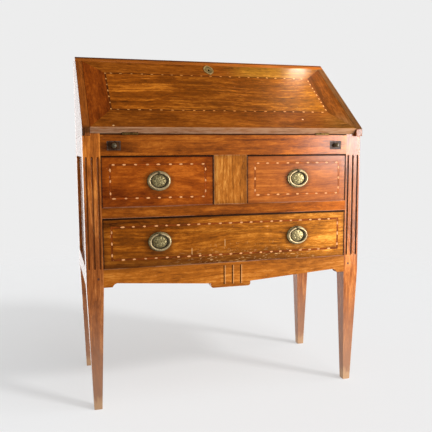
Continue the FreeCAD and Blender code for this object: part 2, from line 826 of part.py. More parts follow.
keep(cut("lid_lock", lock_block, bolt_channel, keyhole))
keep(slope_board("lid_lock_bolt", -desk.bolt_width / 2, bolt_tip - desk.bolt_length, bolt_out,
                 desk.bolt_width, desk.bolt_length, desk.bolt_thickness))
top_rail_corners = [(-field_half, field_head), (field_half, field_head), (lid_half, lid_length),
                    (-lid_half, lid_length)]
top_rail_board = slope_prism("lid_top_board", top_rail_corners, whole_lid, desk.lid_thickness)
keep(cut("lid_top_rail", top_rail_board, lock_block, keyhole))
plate_half_width = desk.escutcheon_width / 2
plate_half_height = desk.escutcheon_height / 2
plate_chord = plate_half_width * plate_half_width + plate_half_height * plate_half_height
plate_bend = plate_chord / desk.escutcheon_width
escutcheon_corners = [(0, key_up - plate_half_height, plate_bend),
                      (0, key_up + plate_half_height, plate_bend)]
escutcheon_blank = slope_prism("escutcheon_blank", escutcheon_corners, desk.lid_thickness,
                               desk.escutcheon_thickness)
keep(cut("lid_escutcheon", escutcheon_blank, keyhole))

# Lopers and their turned knobs
loper_length = rear_post_y - desk.loper_rear_gap - front_y
for side, loper_x in loper_places.items():
    knob_z = loper_bottom + desk.loper_height / 2
    ball_y = front_y - desk.loper_knob_length + desk.loper_knob_radius
    stem_y = front_y - desk.loper_knob_length / 2
    stem = rod(f"{side}_loper_knob_stem", "y", loper_x, stem_y, knob_z, desk.loper_knob_stem_radius,
               desk.loper_knob_length / 2 + desk.loper_knob_stem_depth)
    flange_y = front_y - desk.loper_knob_flange_thickness
    flange = rod(f"{side}_loper_knob_flange", "y", loper_x, flange_y, knob_z, desk.loper_knob_flange_radius,
                 desk.loper_knob_flange_thickness)
    head = ball(f"{side}_loper_knob_head", loper_x, ball_y, knob_z, desk.loper_knob_radius)
    knob = keep(fuse(f"{side}_loper_knob", stem, flange, head))
    bar = board(f"{side}_loper_bar", loper_x - desk.loper_width / 2, front_y, loper_bottom,
                desk.loper_width, loper_length, desk.loper_height)
    keep(cut(f"{side}_loper", bar, knob))

# Ring pulls: an oval plate with a domed medallion and an eye, bolted through the drawer front, and a ring
ring_line_width = desk.ring_width - 2 * desk.ring_wire_radius
ring_line_height = desk.ring_height - 2 * desk.ring_wire_radius
eye_bore = desk.ring_wire_radius + desk.ring_hole_clearance
ring_y = front_y - desk.ring_standoff
nut_y = front_y + desk.drawer_front_thickness


def handle_plate(name, x, z):
    """The plate, medallion, eye and stem of one pull, and the nut inside the drawer."""
    eye_z = z + ring_line_height / 2
    plate_corners = oval_corners(desk.plate_width, desk.plate_height, desk.plate_end_radius)
    plate = prism(f"{name}_flange", "XZ_Plane", plate_corners, desk.plate_thickness, x,
                  front_y - desk.plate_thickness, z)
    dome = document.addObject("Part::Ellipsoid", f"{name}_medallion")
    dome.Placement.Rotation = FreeCAD.Rotation(FreeCAD.Vector(1, 0, 0), 90)
    dome.Angle1 = 0
    bind(dome, Radius1=desk.medallion_rise, Radius2=desk.medallion_width / 2,
         Radius3=desk.medallion_height / 2)
    place(dome, x, front_y - desk.plate_thickness, z)
    eye = ball(f"{name}_eye", x, ring_y, eye_z, desk.eye_radius)
    stem = rod(f"{name}_stem", "y", x, ring_y + eye_bore, eye_z, desk.stem_radius,
               nut_y + desk.nut_thickness - ring_y - eye_bore)
    bore = rod(f"{name}_eye_bore", "x", x - desk.eye_radius, ring_y, eye_z, eye_bore, 2 * desk.eye_radius)
    plate_solid = cut(f"{name}_plate", fuse(f"{name}_casting", plate, dome, eye, stem), bore)
    nut_blank = rod(f"{name}_nut_blank", "y", x, nut_y, eye_z, desk.nut_radius, desk.nut_thickness)
    nut = cut(f"{name}_nut", nut_blank, stem)
    return [plate_solid, nut], stem


def handle_ring(name, x, z):
    body = document.addObject("PartDesign::Body", name)
    path = new_sketch(body, "XZ_Plane", f"{name}_path")
    draw_outline(path, oval_corners(ring_line_width, ring_line_height, desk.ring_end_radius))
    wire = new_sketch(body, "XY_Plane", f"{name}_section")
    circle = Part.Circle(FreeCAD.Vector(ring_line_width.value / 2, 0, 0), FreeCAD.Vector(0, 0, 1),
                         desk.ring_wire_radius.value)
    edge = wire.addGeometry(circle)
    wire.addConstraint(Sketcher.Constraint("PointOnObject", edge, 3, -1))
    across = wire.addConstraint(Sketcher.Constraint("DistanceX", -1, 1, edge, 3, ring_line_width.value / 2))
    wire.setExpression(f"Constraints[{across}]", (ring_line_width / 2).text)
    round_size = wire.addConstraint(Sketcher.Constraint("Radius", edge, desk.ring_wire_radius.value))
    wire.setExpression(f"Constraints[{round_size}]", desk.ring_wire_radius.text)
    pipe = body.newObject("PartDesign::AdditivePipe", f"{name}_wire")
    pipe.Profile = wire
    pipe.Spine = path
    place(body, x, ring_y, z)
    return body


# Drawers: a front with stringing let in, dovetailed sides, and a back over a bottom that slides into grooves
def drawer_side(name, x, base, depth, height):
    """One side of a drawer, with three dovetails at its front end that are lapped by the drawer front."""
    root_y = front_y + desk.drawer_front_thickness
    tip_y = root_y - desk.dovetail_length
    tip_half = desk.dovetail_width / 2
    root_half = tip_half - desk.dovetail_flare
    side_board = board(f"{name}_board", x, root_y, base, desk.drawer_side_thickness, depth, height)
    tails = []
    for tail in (1, 3, 5):
        middle = base + tail * height / 6
        corners = [(tip_y, middle - tip_half), (root_y, middle - root_half), (root_y, middle + root_half),
                   (tip_y, middle + tip_half)]
        tails.append(prism(f"{name}_tail_{tail}", "YZ_Plane", corners, desk.drawer_side_thickness, x, 0, 0))
    return fuse(f"{name}_blank", side_board, *tails)


def drawer(name, left, right, bottom, height, handles):
    front_left = left + desk.drawer_side_gap
    front_width = right - left - 2 * desk.drawer_side_gap
    base = bottom + desk.drawer_lift
    front_height = height - desk.drawer_lift - desk.drawer_top_gap
    box_y = front_y + desk.drawer_front_thickness
    box_depth = rear_rail_y - desk.drawer_rear_gap - box_y
    wall_height = front_height - desk.drawer_side_drop
    inside_left = front_left + desk.drawer_side_thickness
    inside_width = front_width - 2 * desk.drawer_side_thickness
    bottom_z = base + desk.drawer_bottom_rise

    outer_inset = desk.drawer_inlay_inset
    inner_inset = desk.drawer_inlay_inset + desk.inlay_width
    bands = [
        board(f"{name}_band_{edge}", front_left + inset, front_y, base + inset, front_width - 2 * inset,
              desk.inlay_depth, front_height - 2 * inset)
        for edge, inset in (("outer", outer_inset), ("inner", inner_inset))
    ]
    inlay = keep(cut(f"{name}_inlay", *bands))
    drawer_bottom = keep(board(
        f"{name}_bottom",
        inside_left - desk.drawer_groove_depth,
        box_y - desk.drawer_groove_depth,
        bottom_z,
        inside_width + 2 * desk.drawer_groove_depth,
        box_depth + desk.drawer_groove_depth,
        desk.drawer_bottom_thickness,
    ))

    plates = []
    stems = []
    for pull, (handle_x, handle_z) in handles.items():
        solids, stem = handle_plate(f"{pull}_handle", handle_x, handle_z)
        plates.extend(solids)
        stems.append(stem)
        keep(handle_ring(f"{pull}_ring", handle_x, handle_z))
    keep(group(f"{name}_handle_plates", *plates))

    walls = {side: drawer_side(f"{name}_{side}", wall_x, base, box_depth, wall_height)
             for side, wall_x in (("left", front_left), ("right", inside_left + inside_width))}
    front_board = board(f"{name}_front_board", front_left, front_y, base, front_width,
                        desk.drawer_front_thickness, front_height)
    keep(cut(f"{name}_front", front_board, inlay, drawer_bottom, *walls.values(), *stems))
    back_bottom = bottom_z + desk.drawer_bottom_thickness
    back = board(f"{name}_back", inside_left, box_y + box_depth - desk.drawer_back_thickness, back_bottom,
                 inside_width, desk.drawer_back_thickness, base + wall_height - back_bottom)
    grooved = [cut(f"{name}_{side}_wall", wall, drawer_bottom) for side, wall in walls.items()]
    keep(group(f"{name}_box", *grooved, back))


upper_middle_x = (inner_half + centre_half) / 2
upper_middle_z = upper_bottom + desk.upper_opening_height / 2
long_middle_z = apron_top + desk.long_opening_height / 2
drawer("upper_left_drawer", -inner_half, -centre_half, upper_bottom, desk.upper_opening_height,
       {"upper_left": (-upper_middle_x, upper_middle_z)})
drawer("upper_right_drawer", centre_half, inner_half, upper_bottom, desk.upper_opening_height,
       {"upper_right": (upper_middle_x, upper_middle_z)})
drawer("long_drawer", -inner_half, inner_half, apron_top, desk.long_opening_height,
       {"long_left": (-upper_middle_x, long_middle_z), "long_right": (upper_middle_x, long_middle_z)})

# Pigeonholes: two shelves between the gables, on dividers that stand on the bed
fitting_y = back_front_y - desk.fitting_depth
hood_inside = top_under - desk.bed_height
small_opening_height = hood_inside * desk.small_drawer_share
pigeonhole_height = hood_inside * desk.pigeonhole_share
lower_shelf_z = desk.bed_height + small_opening_height
pigeonhole_z = lower_shelf_z + desk.shelf_thickness
upper_shelf_z = pigeonhole_z + pigeonhole_height
bay_half = desk.centre_bay_width / 2
divider_outer = bay_half + desk.divider_thickness
shelves = [
    cut(f"{level}_shelf",
        board(f"{level}_shelf_board", -gable_inner, fitting_y, shelf_z, 2 * gable_inner,
              desk.fitting_depth, desk.shelf_thickness),
        *rear_leg_blanks)
    for level, shelf_z in (("lower", lower_shelf_z), ("upper", upper_shelf_z))
]
keep(group("pigeonhole_shelves", *shelves))
outer_divider = (divider_outer + gable_inner + desk.divider_thickness) / 2
dividers = []
for side, sign in side_signs.items():
    for name, distance, bottom, height in (
        ("lower_divider", divider_outer, desk.bed_height, small_opening_height),
        ("inner_divider", divider_outer, pigeonhole_z, pigeonhole_height),
        ("outer_divider", outer_divider, pigeonhole_z, pigeonhole_height),
    ):
        divider_x = beside(sign, distance, desk.divider_thickness)
        dividers.append(board(f"{side}_{name}", divider_x, fitting_y, bottom, desk.divider_thickness,
                              desk.fitting_depth, height))
keep(group("pigeonhole_dividers", *dividers))


# Small drawers under the lower shelf
def small_drawer(side, left, right):
    name = f"{side}_small_drawer"
    gap = desk.small_drawer_gap
    wall = desk.small_drawer_wall
    front_left = left + gap
    width = right - left - 2 * gap
    drawer_y = fitting_y + desk.small_drawer_setback
    base = desk.bed_height + desk.small_drawer_lift
    height = small_opening_height - desk.small_drawer_lift - gap
    box_y = drawer_y + desk.small_drawer_front_thickness
    box_depth = rear_post_y - desk.small_drawer_rear_gap - box_y
    floor_top = base + desk.small_drawer_bottom_thickness
    wall_height = height - desk.small_drawer_bottom_thickness - desk.small_drawer_wall_drop
    knob_x = front_left + width / 2
    knob_y = drawer_y - desk.small_knob_stem_length
    knob_z = base + height / 2
    knob_stem = rod(f"{name}_knob_stem", "y", knob_x, knob_y, knob_z, desk.small_knob_stem_radius,
                    box_y - knob_y)
    knob_head = ball(f"{name}_knob_head", knob_x, knob_y, knob_z, desk.small_knob_radius)
    front_board = board(f"{name}_front_board", front_left, drawer_y, base, width,
                        desk.small_drawer_front_thickness, height)
    right_x = front_left + width - wall
    back_y_inside = box_y + box_depth - wall
    keep(group(
        name,
        cut(f"{name}_front", front_board, knob_stem),
        board(f"{name}_bottom", front_left, box_y, base, width, box_depth,
              desk.small_drawer_bottom_thickness),
        board(f"{name}_left_wall", front_left, box_y, floor_top, wall, box_depth, wall_height),
        board(f"{name}_right_wall", right_x, box_y, floor_top, wall, box_depth, wall_height),
        board(f"{name}_back", front_left + wall, back_y_inside, floor_top, width - 2 * wall, wall,
              wall_height),
        fuse(f"{name}_knob", knob_stem, knob_head),
    ))


small_drawer("left", -gable_inner, -divider_outer)
small_drawer("right", divider_outer, gable_inner)

document.recompute()
for item in document.Objects:
    if "Invalid" in item.State or "Error" in item.State:
        raise RuntimeError(f"{item.Label} failed: {item.State}")
for node in nodes:
    if node.Shape.isNull() or not node.Shape.isValid() or not node.Shape.Solids:
        raise RuntimeError(f"{node.Label} has no valid solid")

os.makedirs("parts", exist_ok=True)
for node in nodes:
    node.Shape.exportStep(f"parts/{node.Label}.step")
    print(f"{node.Label}: {len(node.Shape.Solids)} solids, {node.Shape.Volume / 1000:.1f} cm3")
print(f"{len(nodes)} nodes, lid slope {slope.value:.2f} degrees, lid length {lid_length.value:.1f}")
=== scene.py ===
import bpy
import bmesh
import math
from mathutils import Matrix, Vector


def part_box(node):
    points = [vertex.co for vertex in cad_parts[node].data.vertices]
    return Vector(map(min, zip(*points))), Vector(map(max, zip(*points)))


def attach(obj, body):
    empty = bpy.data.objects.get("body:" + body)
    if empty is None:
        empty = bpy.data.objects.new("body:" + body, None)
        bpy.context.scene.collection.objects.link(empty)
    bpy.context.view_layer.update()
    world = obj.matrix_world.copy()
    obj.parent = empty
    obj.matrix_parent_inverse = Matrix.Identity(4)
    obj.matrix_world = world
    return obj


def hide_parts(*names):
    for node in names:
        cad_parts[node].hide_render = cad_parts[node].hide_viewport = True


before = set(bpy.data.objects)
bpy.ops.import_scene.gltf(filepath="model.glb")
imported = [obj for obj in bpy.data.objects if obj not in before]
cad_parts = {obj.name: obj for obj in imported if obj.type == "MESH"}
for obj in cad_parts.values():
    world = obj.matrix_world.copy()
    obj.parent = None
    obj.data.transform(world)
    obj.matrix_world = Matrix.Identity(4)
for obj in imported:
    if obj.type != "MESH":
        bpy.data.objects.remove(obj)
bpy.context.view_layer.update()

# ------------------------------------------------
# Legs: four solid walnut posts, planed square above and tapered on all sides below, oiled and
# French polished. The front pair carries three flutes cut with a scratch stock.
# The feet are rubbed pale where they have stood on damp floors.


def both_ways(operation):
    """An operator of the class below, and its reflected form."""
    return (lambda tone, other: tone.maths(operation, tone, other),
            lambda tone, other: tone.maths(operation, other, tone))


class Tone:
    """One value in a finish. Sums, products and limits on it add their Math nodes to that finish."""

    def __init__(self, finish, socket):
        self.finish, self.socket = finish, socket

    def maths(self, operation, *values):
        sockets = dict(zip(("Value", "Value_001"), values))
        return self.finish.add("ShaderNodeMath", {"operation": operation}, sockets)["Value"]

    __add__, __radd__ = both_ways("ADD")
    __sub__, __rsub__ = both_ways("SUBTRACT")
    __mul__, __rmul__ = both_ways("MULTIPLY")
    __truediv__, __rtruediv__ = both_ways("DIVIDE")

    def __pow__(self, other):
        return self.maths("POWER", self, other)

    def __abs__(self):
        return self.maths("ABSOLUTE", self)

    def lower(self, other):
        return self.maths("MINIMUM", self, other)

    def higher(self, other):
        return self.maths("MAXIMUM", self, other)

    def wrap(self, pitch):
        """Distance to the nearest multiple of the pitch."""
        return self.maths("PINGPONG", self, pitch / 2)

    def ease(self, low, high):
        """0 below low and 1 above high, or the other way round where low is the larger."""
        flip = low > high
        return self.finish.add("ShaderNodeMapRange", {"interpolation_type": "SMOOTHSTEP"},
                               {"Value": self, "From Min": min(low, high), "From Max": max(low, high),
                                "To Min": float(flip), "To Max": float(not flip)})["Result"]


class Finish:
    """The nodes of a material, which end in one Principled shader, or those of the studio's air."""

    def __init__(self, name, owner=None):
        self.material = owner or bpy.data.materials.new(name)
        self.material.use_nodes = True
        self.nodes = self.material.node_tree.nodes
        self.nodes.clear()
        self.place = self.add("ShaderNodeTexCoord")["Object"]
        row = self.add("ShaderNodeSeparateXYZ", {}, {"Vector": self.place})
        self.x, self.y, self.z = row["X"], row["Y"], row["Z"]

    def add(self, kind, settings=None, sockets=None):
        """A node of that type: its settings first, then the values or links of its sockets."""
        node = self.nodes.new(kind)
        for name, value in (settings or {}).items():
            if name == "stops":
                while len(node.color_ramp.elements) < len(value):
                    node.color_ramp.elements.new(0.5)
                for element, (position, colour) in zip(node.color_ramp.elements, value):
                    element.position = position
                    element.color = (*colour, 1)
            else:
                setattr(node, name, value)
        for name, value in (sockets or {}).items():
            socket = next(s for s in node.inputs if s.identifier == name)
            if isinstance(value, Tone):
                self.material.node_tree.links.new(value.socket, socket)
            elif socket.type == "RGBA":
                socket.default_value = (*value, 1)
            else:
                socket.default_value = value
        return {s.identifier: Tone(self, s) for s in node.outputs}

    def vector(self, x, y, z):
        return self.add("ShaderNodeCombineXYZ", {}, {"X": x, "Y": y, "Z": z})["Vector"]

    def noise(self, place, detail=2.0, roughness=0.5, distortion=0.0):
        return self.add("ShaderNodeTexNoise", {}, {"Vector": place, "Scale": 1.0, "Detail": detail,
                                                   "Roughness": roughness, "Distortion": distortion})["Fac"]

    def spots(self, x, y, z, detail=2.0, roughness=0.5):
        """Noise with about that many grains to the metre along each axis."""
        return self.noise(self.vector(self.x * x, self.y * y, self.z * z), detail, roughness)

    def mix(self, share, first, second, how="MIX"):
        return self.add("ShaderNodeMix", {"data_type": "RGBA", "blend_type": how},
                        {"Factor_Float": share, "A_Color": first, "B_Color": second})["Result_Color"]

    def bump(self, height, strength, relief):
        return self.add("ShaderNodeBump", {}, {"Strength": strength, "Distance": relief,
                                               "Height": height})["Normal"]

    def tint(self, share, colour, gains):
        """The colour with its red, green and blue multiplied by those gains, in that share."""
        return self.mix(share, colour, gains, "MULTIPLY")

    def close(self, height, bump, relief, **sockets):
        """The shader itself: bump and relief are the strength and depth of the height that roughens it."""
        normal = self.bump(height, bump, relief)
        values = {name.replace("_", " "): value for name, value in sockets.items()}
        shader = self.add("ShaderNodeBsdfPrincipled", {}, {**values, "Normal": normal})["BSDF"]
        self.add("ShaderNodeOutputMaterial", {}, {"Surface": shader})
        return self.material


def shade(red, green, blue):
    """A colour given on the 0 to 255 scale, as the light values that a shader takes."""
    return tuple(((c / 255 + 0.055) / 1.055) ** 2.4 if c > 10 else c / 255 / 12.92 for c in (red, green, blue))


# The slope of the fall front, its hinge axis at the bed, and its outer face as a distance from the inner one.
slope = math.radians(37.7223)
hinge_y, bed_z, lid_face = -0.190, 0.770, 0.020


def up_slope(finish):
    """Distance up the fall front from its hinge axis, and out from its inner face."""
    back, rise = finish.y - hinge_y, finish.z - bed_z
    return (back * math.cos(slope) + rise * math.sin(slope), rise * math.cos(slope) - back * math.sin(slope))


def polished_wood(name, along, colours, board, pith=(0.0, 0.07), streak=1.0, lines=1.0, cloud=1.0, fleck=1.0,
                  size=None, gloss=0.30, varnish=0.5, film=0.10, touch=None):
    """Figured wood under a thin worn polish. along is the grain's way, colours go from the dark veins over
    the body to the light streaks, board picks another plank, pith is the tree's middle beside it, and size
    gives the faces' edges to rub. touch adds marks of its own and says how much of the polish they take off."""
    finish = Finish(name)
    x, y, z = finish.x, finish.y, finish.z
    if along.startswith("slope"):
        up, out = up_slope(finish)
        run, across, depth = (up, x, out) if along == "slope" else (x, up, out)
    else:
        run, across, depth = {"X": (x, z, y), "Z": (z, x, y), "Y": (y, x, z), "X flat": (x, y, z),
                              "Z side": (z, y, x), "Y side": (y, z, x)}[along]
    sway = finish.noise(finish.vector(run * 2.3 + board * 5.1, board * 1.3, 0.0)) - 0.5
    bowed = across - pith[0] + sway * 0.06
    rings = finish.add("ShaderNodeTexWave", {"wave_type": "RINGS", "rings_direction": "X", "wave_profile": "SAW"},
                       {"Vector": finish.vector(run * 0.06 + board * 3.1, bowed, depth - pith[1]),
                        "Scale": 52.0, "Distortion": 5.0, "Detail": 3.0, "Detail Scale": 0.7,
                        "Detail Roughness": 0.6})["Fac"]
    veins = finish.noise(finish.vector(run * 4.8 + board * 7.3, bowed * 60 + board * 1.7, depth * 60),
                         7.0, 0.70, 0.9)
    clouds = finish.noise(finish.vector(run * 7 + board * 2.9, across * 14 + board, depth * 14), 6.0, 0.64, 0.7)
    flecks = finish.noise(finish.vector(run * 44 + board * 4.7, bowed * 150 + board, depth * 150), 5.0, 0.70, 0.6)
    fibres = finish.noise(finish.vector(run * 16 + board, across * 420, depth * 420), 3.0, 0.6)
    pores = finish.noise(finish.vector(run * 95, across * 1300 + board, depth * 1300)).ease(0.60, 0.70)
    parts = ((veins.ease(0.32, 0.68), 0.40 * streak), (1 - rings ** 2.0, 0.17 * lines),
             (clouds.ease(0.32, 0.68), 0.28 * cloud), (flecks.ease(0.30, 0.70), 0.27 * fleck),
             (fibres, 0.10))
    figure = sum(part * share for part, share in parts) / sum(share for part, share in parts)
    dark, body, light = (shade(*each) for each in colours)
    colour = finish.add("ShaderNodeValToRGB",
                        {"stops": [(0.15, dark), (0.40, tuple(0.40 * d + 0.60 * b for d, b in zip(dark, body))),
                                   (0.57, body), (0.84, light)]}, {"Fac": figure})["Color"]
    colour = finish.mix(pores * 0.55, colour, tuple(0.45 * d for d in dark))
    nicks = finish.noise(finish.vector(run * 85 + board * 9.1, across * 190, depth * 190)).ease(0.735, 0.775)
    colour = finish.mix(nicks * 0.45, colour, tuple(0.8 * l + 0.10 for l in light))
    rough = gloss + 0.10 + fibres * 0.10 + clouds.ease(0.35, 0.75) * 0.12
    coat = 0.6 * varnish * (1 - pores * 0.5)
    if size:
        first, second, third = ((here - low).lower(high - here) for here, low, high in zip((x, y, z), *size))
        rims = first.lower(second).higher(first.higher(second).lower(third))
        grime = rims.ease(0.016, 0.0) * clouds.ease(0.25, 0.60)
        colour = finish.mix(grime * 0.45, colour, tuple(0.6 * d for d in dark))
        rubbed = rims.ease(0.0022, 0.0003) * veins.ease(0.42, 0.55)
        colour = finish.mix(rubbed * 0.5, colour, tuple(0.5 * l + 0.12 for l in light))
        rough = rough + rubbed * 0.2
    if touch:
        colour, rough, matt = touch(finish, colour, rough)
        coat = coat * (1 - matt)
    height = fibres * 0.35 - pores * 0.8 - rings * 0.15 + veins * 0.3 - nicks * 0.8
    return finish.close(height, 0.10, 0.0005, Base_Color=colour, Roughness=rough, Coat_Weight=coat,
                        Coat_Roughness=film, Specular_IOR_Level=0.06)


def dress(node, material, soften=0.0):
    """Gives a CAD node its finish, and breaks its sharp edges as a maker does with a plane and paper."""
    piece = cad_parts[node]
    for slot in piece.material_slots:
        slot.material = material
    if soften:
        weld = piece.modifiers.new("joined_faces", "WELD")
        weld.merge_threshold = 1e-6
        edge = piece.modifiers.new("broken_edges", "BEVEL")
        edge.width, edge.segments = soften, 2
        edge.limit_method, edge.angle_limit = "ANGLE", math.radians(38)
        even = piece.modifiers.new("even_shading", "WEIGHTED_NORMAL")
        even.keep_sharp = False


def polish(node, *cut, soften=0.0, **looks):
    """Dresses a CAD node in polished wood of its own."""
    dress(node, polished_wood(node, *cut, **looks), soften)


leg_colours = ((90, 42, 12), (164, 90, 36), (212, 134, 66))
front_y = -0.190
post_middle, flute_pitch, flute_foot = 0.387, 0.0155, 0.395


def worn_foot(finish, colour, rough):
    """Painted shade in the flutes, lighter on the left posts, the left posts painted paler above for the light
    that falls there, and feet scuffed dull, palest at the tip.
    """
    left = finish.x.ease(0.1, -0.1)
    flute = (abs(finish.x) - post_middle).wrap(flute_pitch).ease(0.0034, 0.0026)
    flute = flute * finish.y.ease(front_y + 0.00045, front_y + 0.0015)
    flute = flute * finish.y.ease(front_y + 0.010, front_y + 0.006)
    flute = flute * finish.z.ease(flute_foot, flute_foot + 0.015)
    # painted shade: the flutes darkened, less on the left posts
    colour = finish.mix(flute * (0.85 - left * 0.40), colour, shade(52, 20, 4))
    # painted light: the left posts brightened towards the top
    colour = finish.tint(finish.z.ease(0.50, 0.76) * left, colour, (1.48, 1.50, 1.0))
    scuff = finish.spots(130, 130, 34, 4.0, 0.65)
    dull = (finish.z + (scuff - 0.5) * 0.12).ease(0.38, 0.03)
    tip = (finish.z + (scuff - 0.5) * 0.06).ease(0.046, 0.016)
    colour = finish.mix(dull * 0.72, colour, shade(168, 130, 107))
    colour = finish.mix(tip * 0.75, colour, shade(196, 158, 122))
    return colour, rough + tip * 0.15 + dull * 0.1, dull * 0.5


for board, leg in enumerate(("front_left_leg", "front_right_leg", "rear_left_leg", "rear_right_leg")):
    polish(leg, "Z", leg_colours, 0.7 + board * 1.9, (0.02, 0.30), lines=0.6, cloud=0.8, fleck=0.7, varnish=0.9,
           film=0.20, touch=worn_foot, soften=0.0008)

# ------------------------------------------------
# Draw-bore pegs: riven hardwood pins driven through post and tenon, then pared flush.
# Their end grain has taken the polish darker than the posts round it.

peg_finish = Finish("peg_end_grain")
peg_rings = peg_finish.add("ShaderNodeTexWave", {"wave_type": "BANDS", "bands_direction": "DIAGONAL"},
                           {"Vector": peg_finish.place, "Scale": 260.0, "Distortion": 3.0, "Detail": 2.0})["Fac"]
peg_specks = peg_finish.spots(900, 60, 900)
peg_colour = peg_finish.mix(peg_rings * 0.5 + peg_specks * 0.5, shade(58, 27, 10), shade(122, 64, 28))
dress("joint_pegs", peg_finish.close(peg_rings + peg_specks, 0.2, 0.0004, Base_Color=peg_colour,
                                     Roughness=0.38 + peg_specks * 0.2, Coat_Weight=0.4 * peg_specks + 0.2))

# ------------------------------------------------
# Sides: a thin walnut panel set back between the posts and two rails, and a sawn gable above it.
# The panel floats in grooves; the rails are tenoned and the gable is tongued to its rail.

side_colours = ((78, 38, 14), (140, 76, 32), (182, 110, 54))


def gable_edge_marks(finish, colour, rough):
    """The gable's sloped edge, as golden as the fall front beside it and painted darker and greyer at the right
    end for the light that falls on that side, and its left nose, darkened.
    """
    up, out = up_slope(finish)
    sloped = abs(out - lid_face).ease(0.0025, 0.0008)
    wear = finish.noise(finish.vector(finish.x * 150, up * 16, out * 60), 4.0, 0.62)
    golden = finish.mix(wear.ease(0.25, 0.75), shade(96, 45, 6), shade(150, 79, 18))
    # painted: the right end of the edge darker and greyer, for the light that falls on that side
    golden = finish.tint(finish.x.ease(0.0, 0.2), golden, (0.45, 0.85, 3.4))
    colour = finish.mix(sloped * 0.8, colour, golden)
    # the left gable's nose darkened
    nose = finish.z.ease(bed_z + 0.026, bed_z + 0.012) * finish.x.ease(0.1, -0.1)
    nose = nose * finish.y.ease(front_y + 0.004, front_y - 0.006)
    colour = finish.mix(nose * wear.ease(0.36, 0.54) * 0.8, colour, shade(44, 28, 10))
    return colour, rough, nose * 0.4


for board, side in enumerate(("left", "right")):
    polish(f"{side}_side_panel", "Z side", side_colours, 11.3 + board, (0.0, 0.52),
           size=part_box(f"{side}_side_panel"), soften=0.0006)
    polish(f"{side}_side_rails", "Y side", side_colours, 14.1 + board, (0.55, 0.50), soften=0.0008)
    polish(f"{side}_gable", "Z side", side_colours, 17.7 + board, (0.03, 0.50), gloss=0.33, touch=gable_edge_marks,
           soften=0.0012)

# ------------------------------------------------
# Front rails: the apron with its shaped brackets and grooved tablet, the middle rail, and the top
# rail with the two loper slots. All are walnut, tenoned into the posts and polished in place.

rail_colours = ((78, 33, 4), (151, 77, 13), (193, 112, 33))
apron_colours = ((104, 52, 10), (176, 99, 24), (212, 136, 54))


def lid_shadow_and_glare(finish, colour, rough):
    """A painted shadow under the lid's edge, and a right half painted brighter for the light that falls there,
    with painted glare at its end.
    """
    # painted shadow: the dark line under the lid's edge
    joint = finish.z.ease(bed_z - 0.0048, bed_z - 0.0024)
    joint = joint * finish.y.ease(front_y + 0.004, front_y + 0.0015)
    # painted light and glare: the right half brighter, whitest at its end
    colour = finish.tint(finish.x.ease(0.0, 0.3), colour, (1.58, 1.56, 1.0))
    colour = finish.tint(finish.x.ease(0.32, 0.40), colour, (1.0, 1.7, 3.4))
    return finish.mix(joint * 0.9, colour, shade(30, 12, 3)), rough, joint


tablet_middle, groove_pitch = 0.0045, 0.025


def grooves_shade_and_highlight(finish, colour, rough):
    """The tablet, a little paler than the apron, and its three grooves: painted black inside as shade, with a
    painted highlight along one edge.
    """
    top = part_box("apron")[1].z
    aside = finish.x - tablet_middle
    colour = finish.tint(finish.x.ease(0.0, 0.3), colour, (0.90, 0.98, 1.45))
    beside = abs(aside).ease(0.036, 0.033) * abs(finish.z - top + 0.0365).ease(0.0285, 0.0265)
    colour = finish.tint(beside * 0.35, colour, (1.25, 1.4, 2.0))
    # painted highlight beside each groove
    edge = (aside - 0.0036).wrap(groove_pitch).ease(0.0019, 0.0011) * beside
    colour = finish.mix(edge * 0.4, colour, shade(226, 172, 116))
    # painted shade inside the grooves
    groove = aside.wrap(groove_pitch).ease(0.0021, 0.0014) * beside
    return finish.mix(groove * 0.85, colour, shade(48, 22, 4)), rough, groove


def painted_light_right(finish, colour, rough):
    """The middle rail's right half, painted brighter for the light that falls from the right, as on the drawers
    above and below it.
    """
    return finish.tint(finish.x.ease(0.10, 0.40), colour, (1.8, 1.8, 1.8)), rough, 0.0


polish("apron", "X", apron_colours, 21.0, (0.30, -0.10), streak=0.8, lines=0.8, size=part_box("apron"),
       touch=grooves_shade_and_highlight, soften=0.0008)
polish("middle_rail", "X", rail_colours, 24.5, (0.60, -0.12), streak=0.9, size=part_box("middle_rail"),
       touch=painted_light_right, soften=0.0008)
polish("loper_rail", "X", rail_colours, 27.9, (0.74, -0.10), varnish=0.65, film=0.20, touch=lid_shadow_and_glare,
       soften=0.0008)

# ------------------------------------------------
# Centre block: the fixed upright between the two upper drawers, faced with golden straight-grained
# walnut set upright. It is housed into the rails above and below.

centre_colours = ((84, 43, 8), (170, 98, 28), (214, 146, 66))
polish("centre_post", "Z", centre_colours, 31.2, (0.2, 0.05), streak=1.4, lines=0.6, fleck=1.2,
       size=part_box("centre_post"), soften=0.0006)

# ------------------------------------------------
# Hidden carcass: pine back boards nailed into rebates, the rear rail, the drawer runners and guides,
# and the housings that the lopers slide in. Sawn and planed, never polished, grey-brown with age.


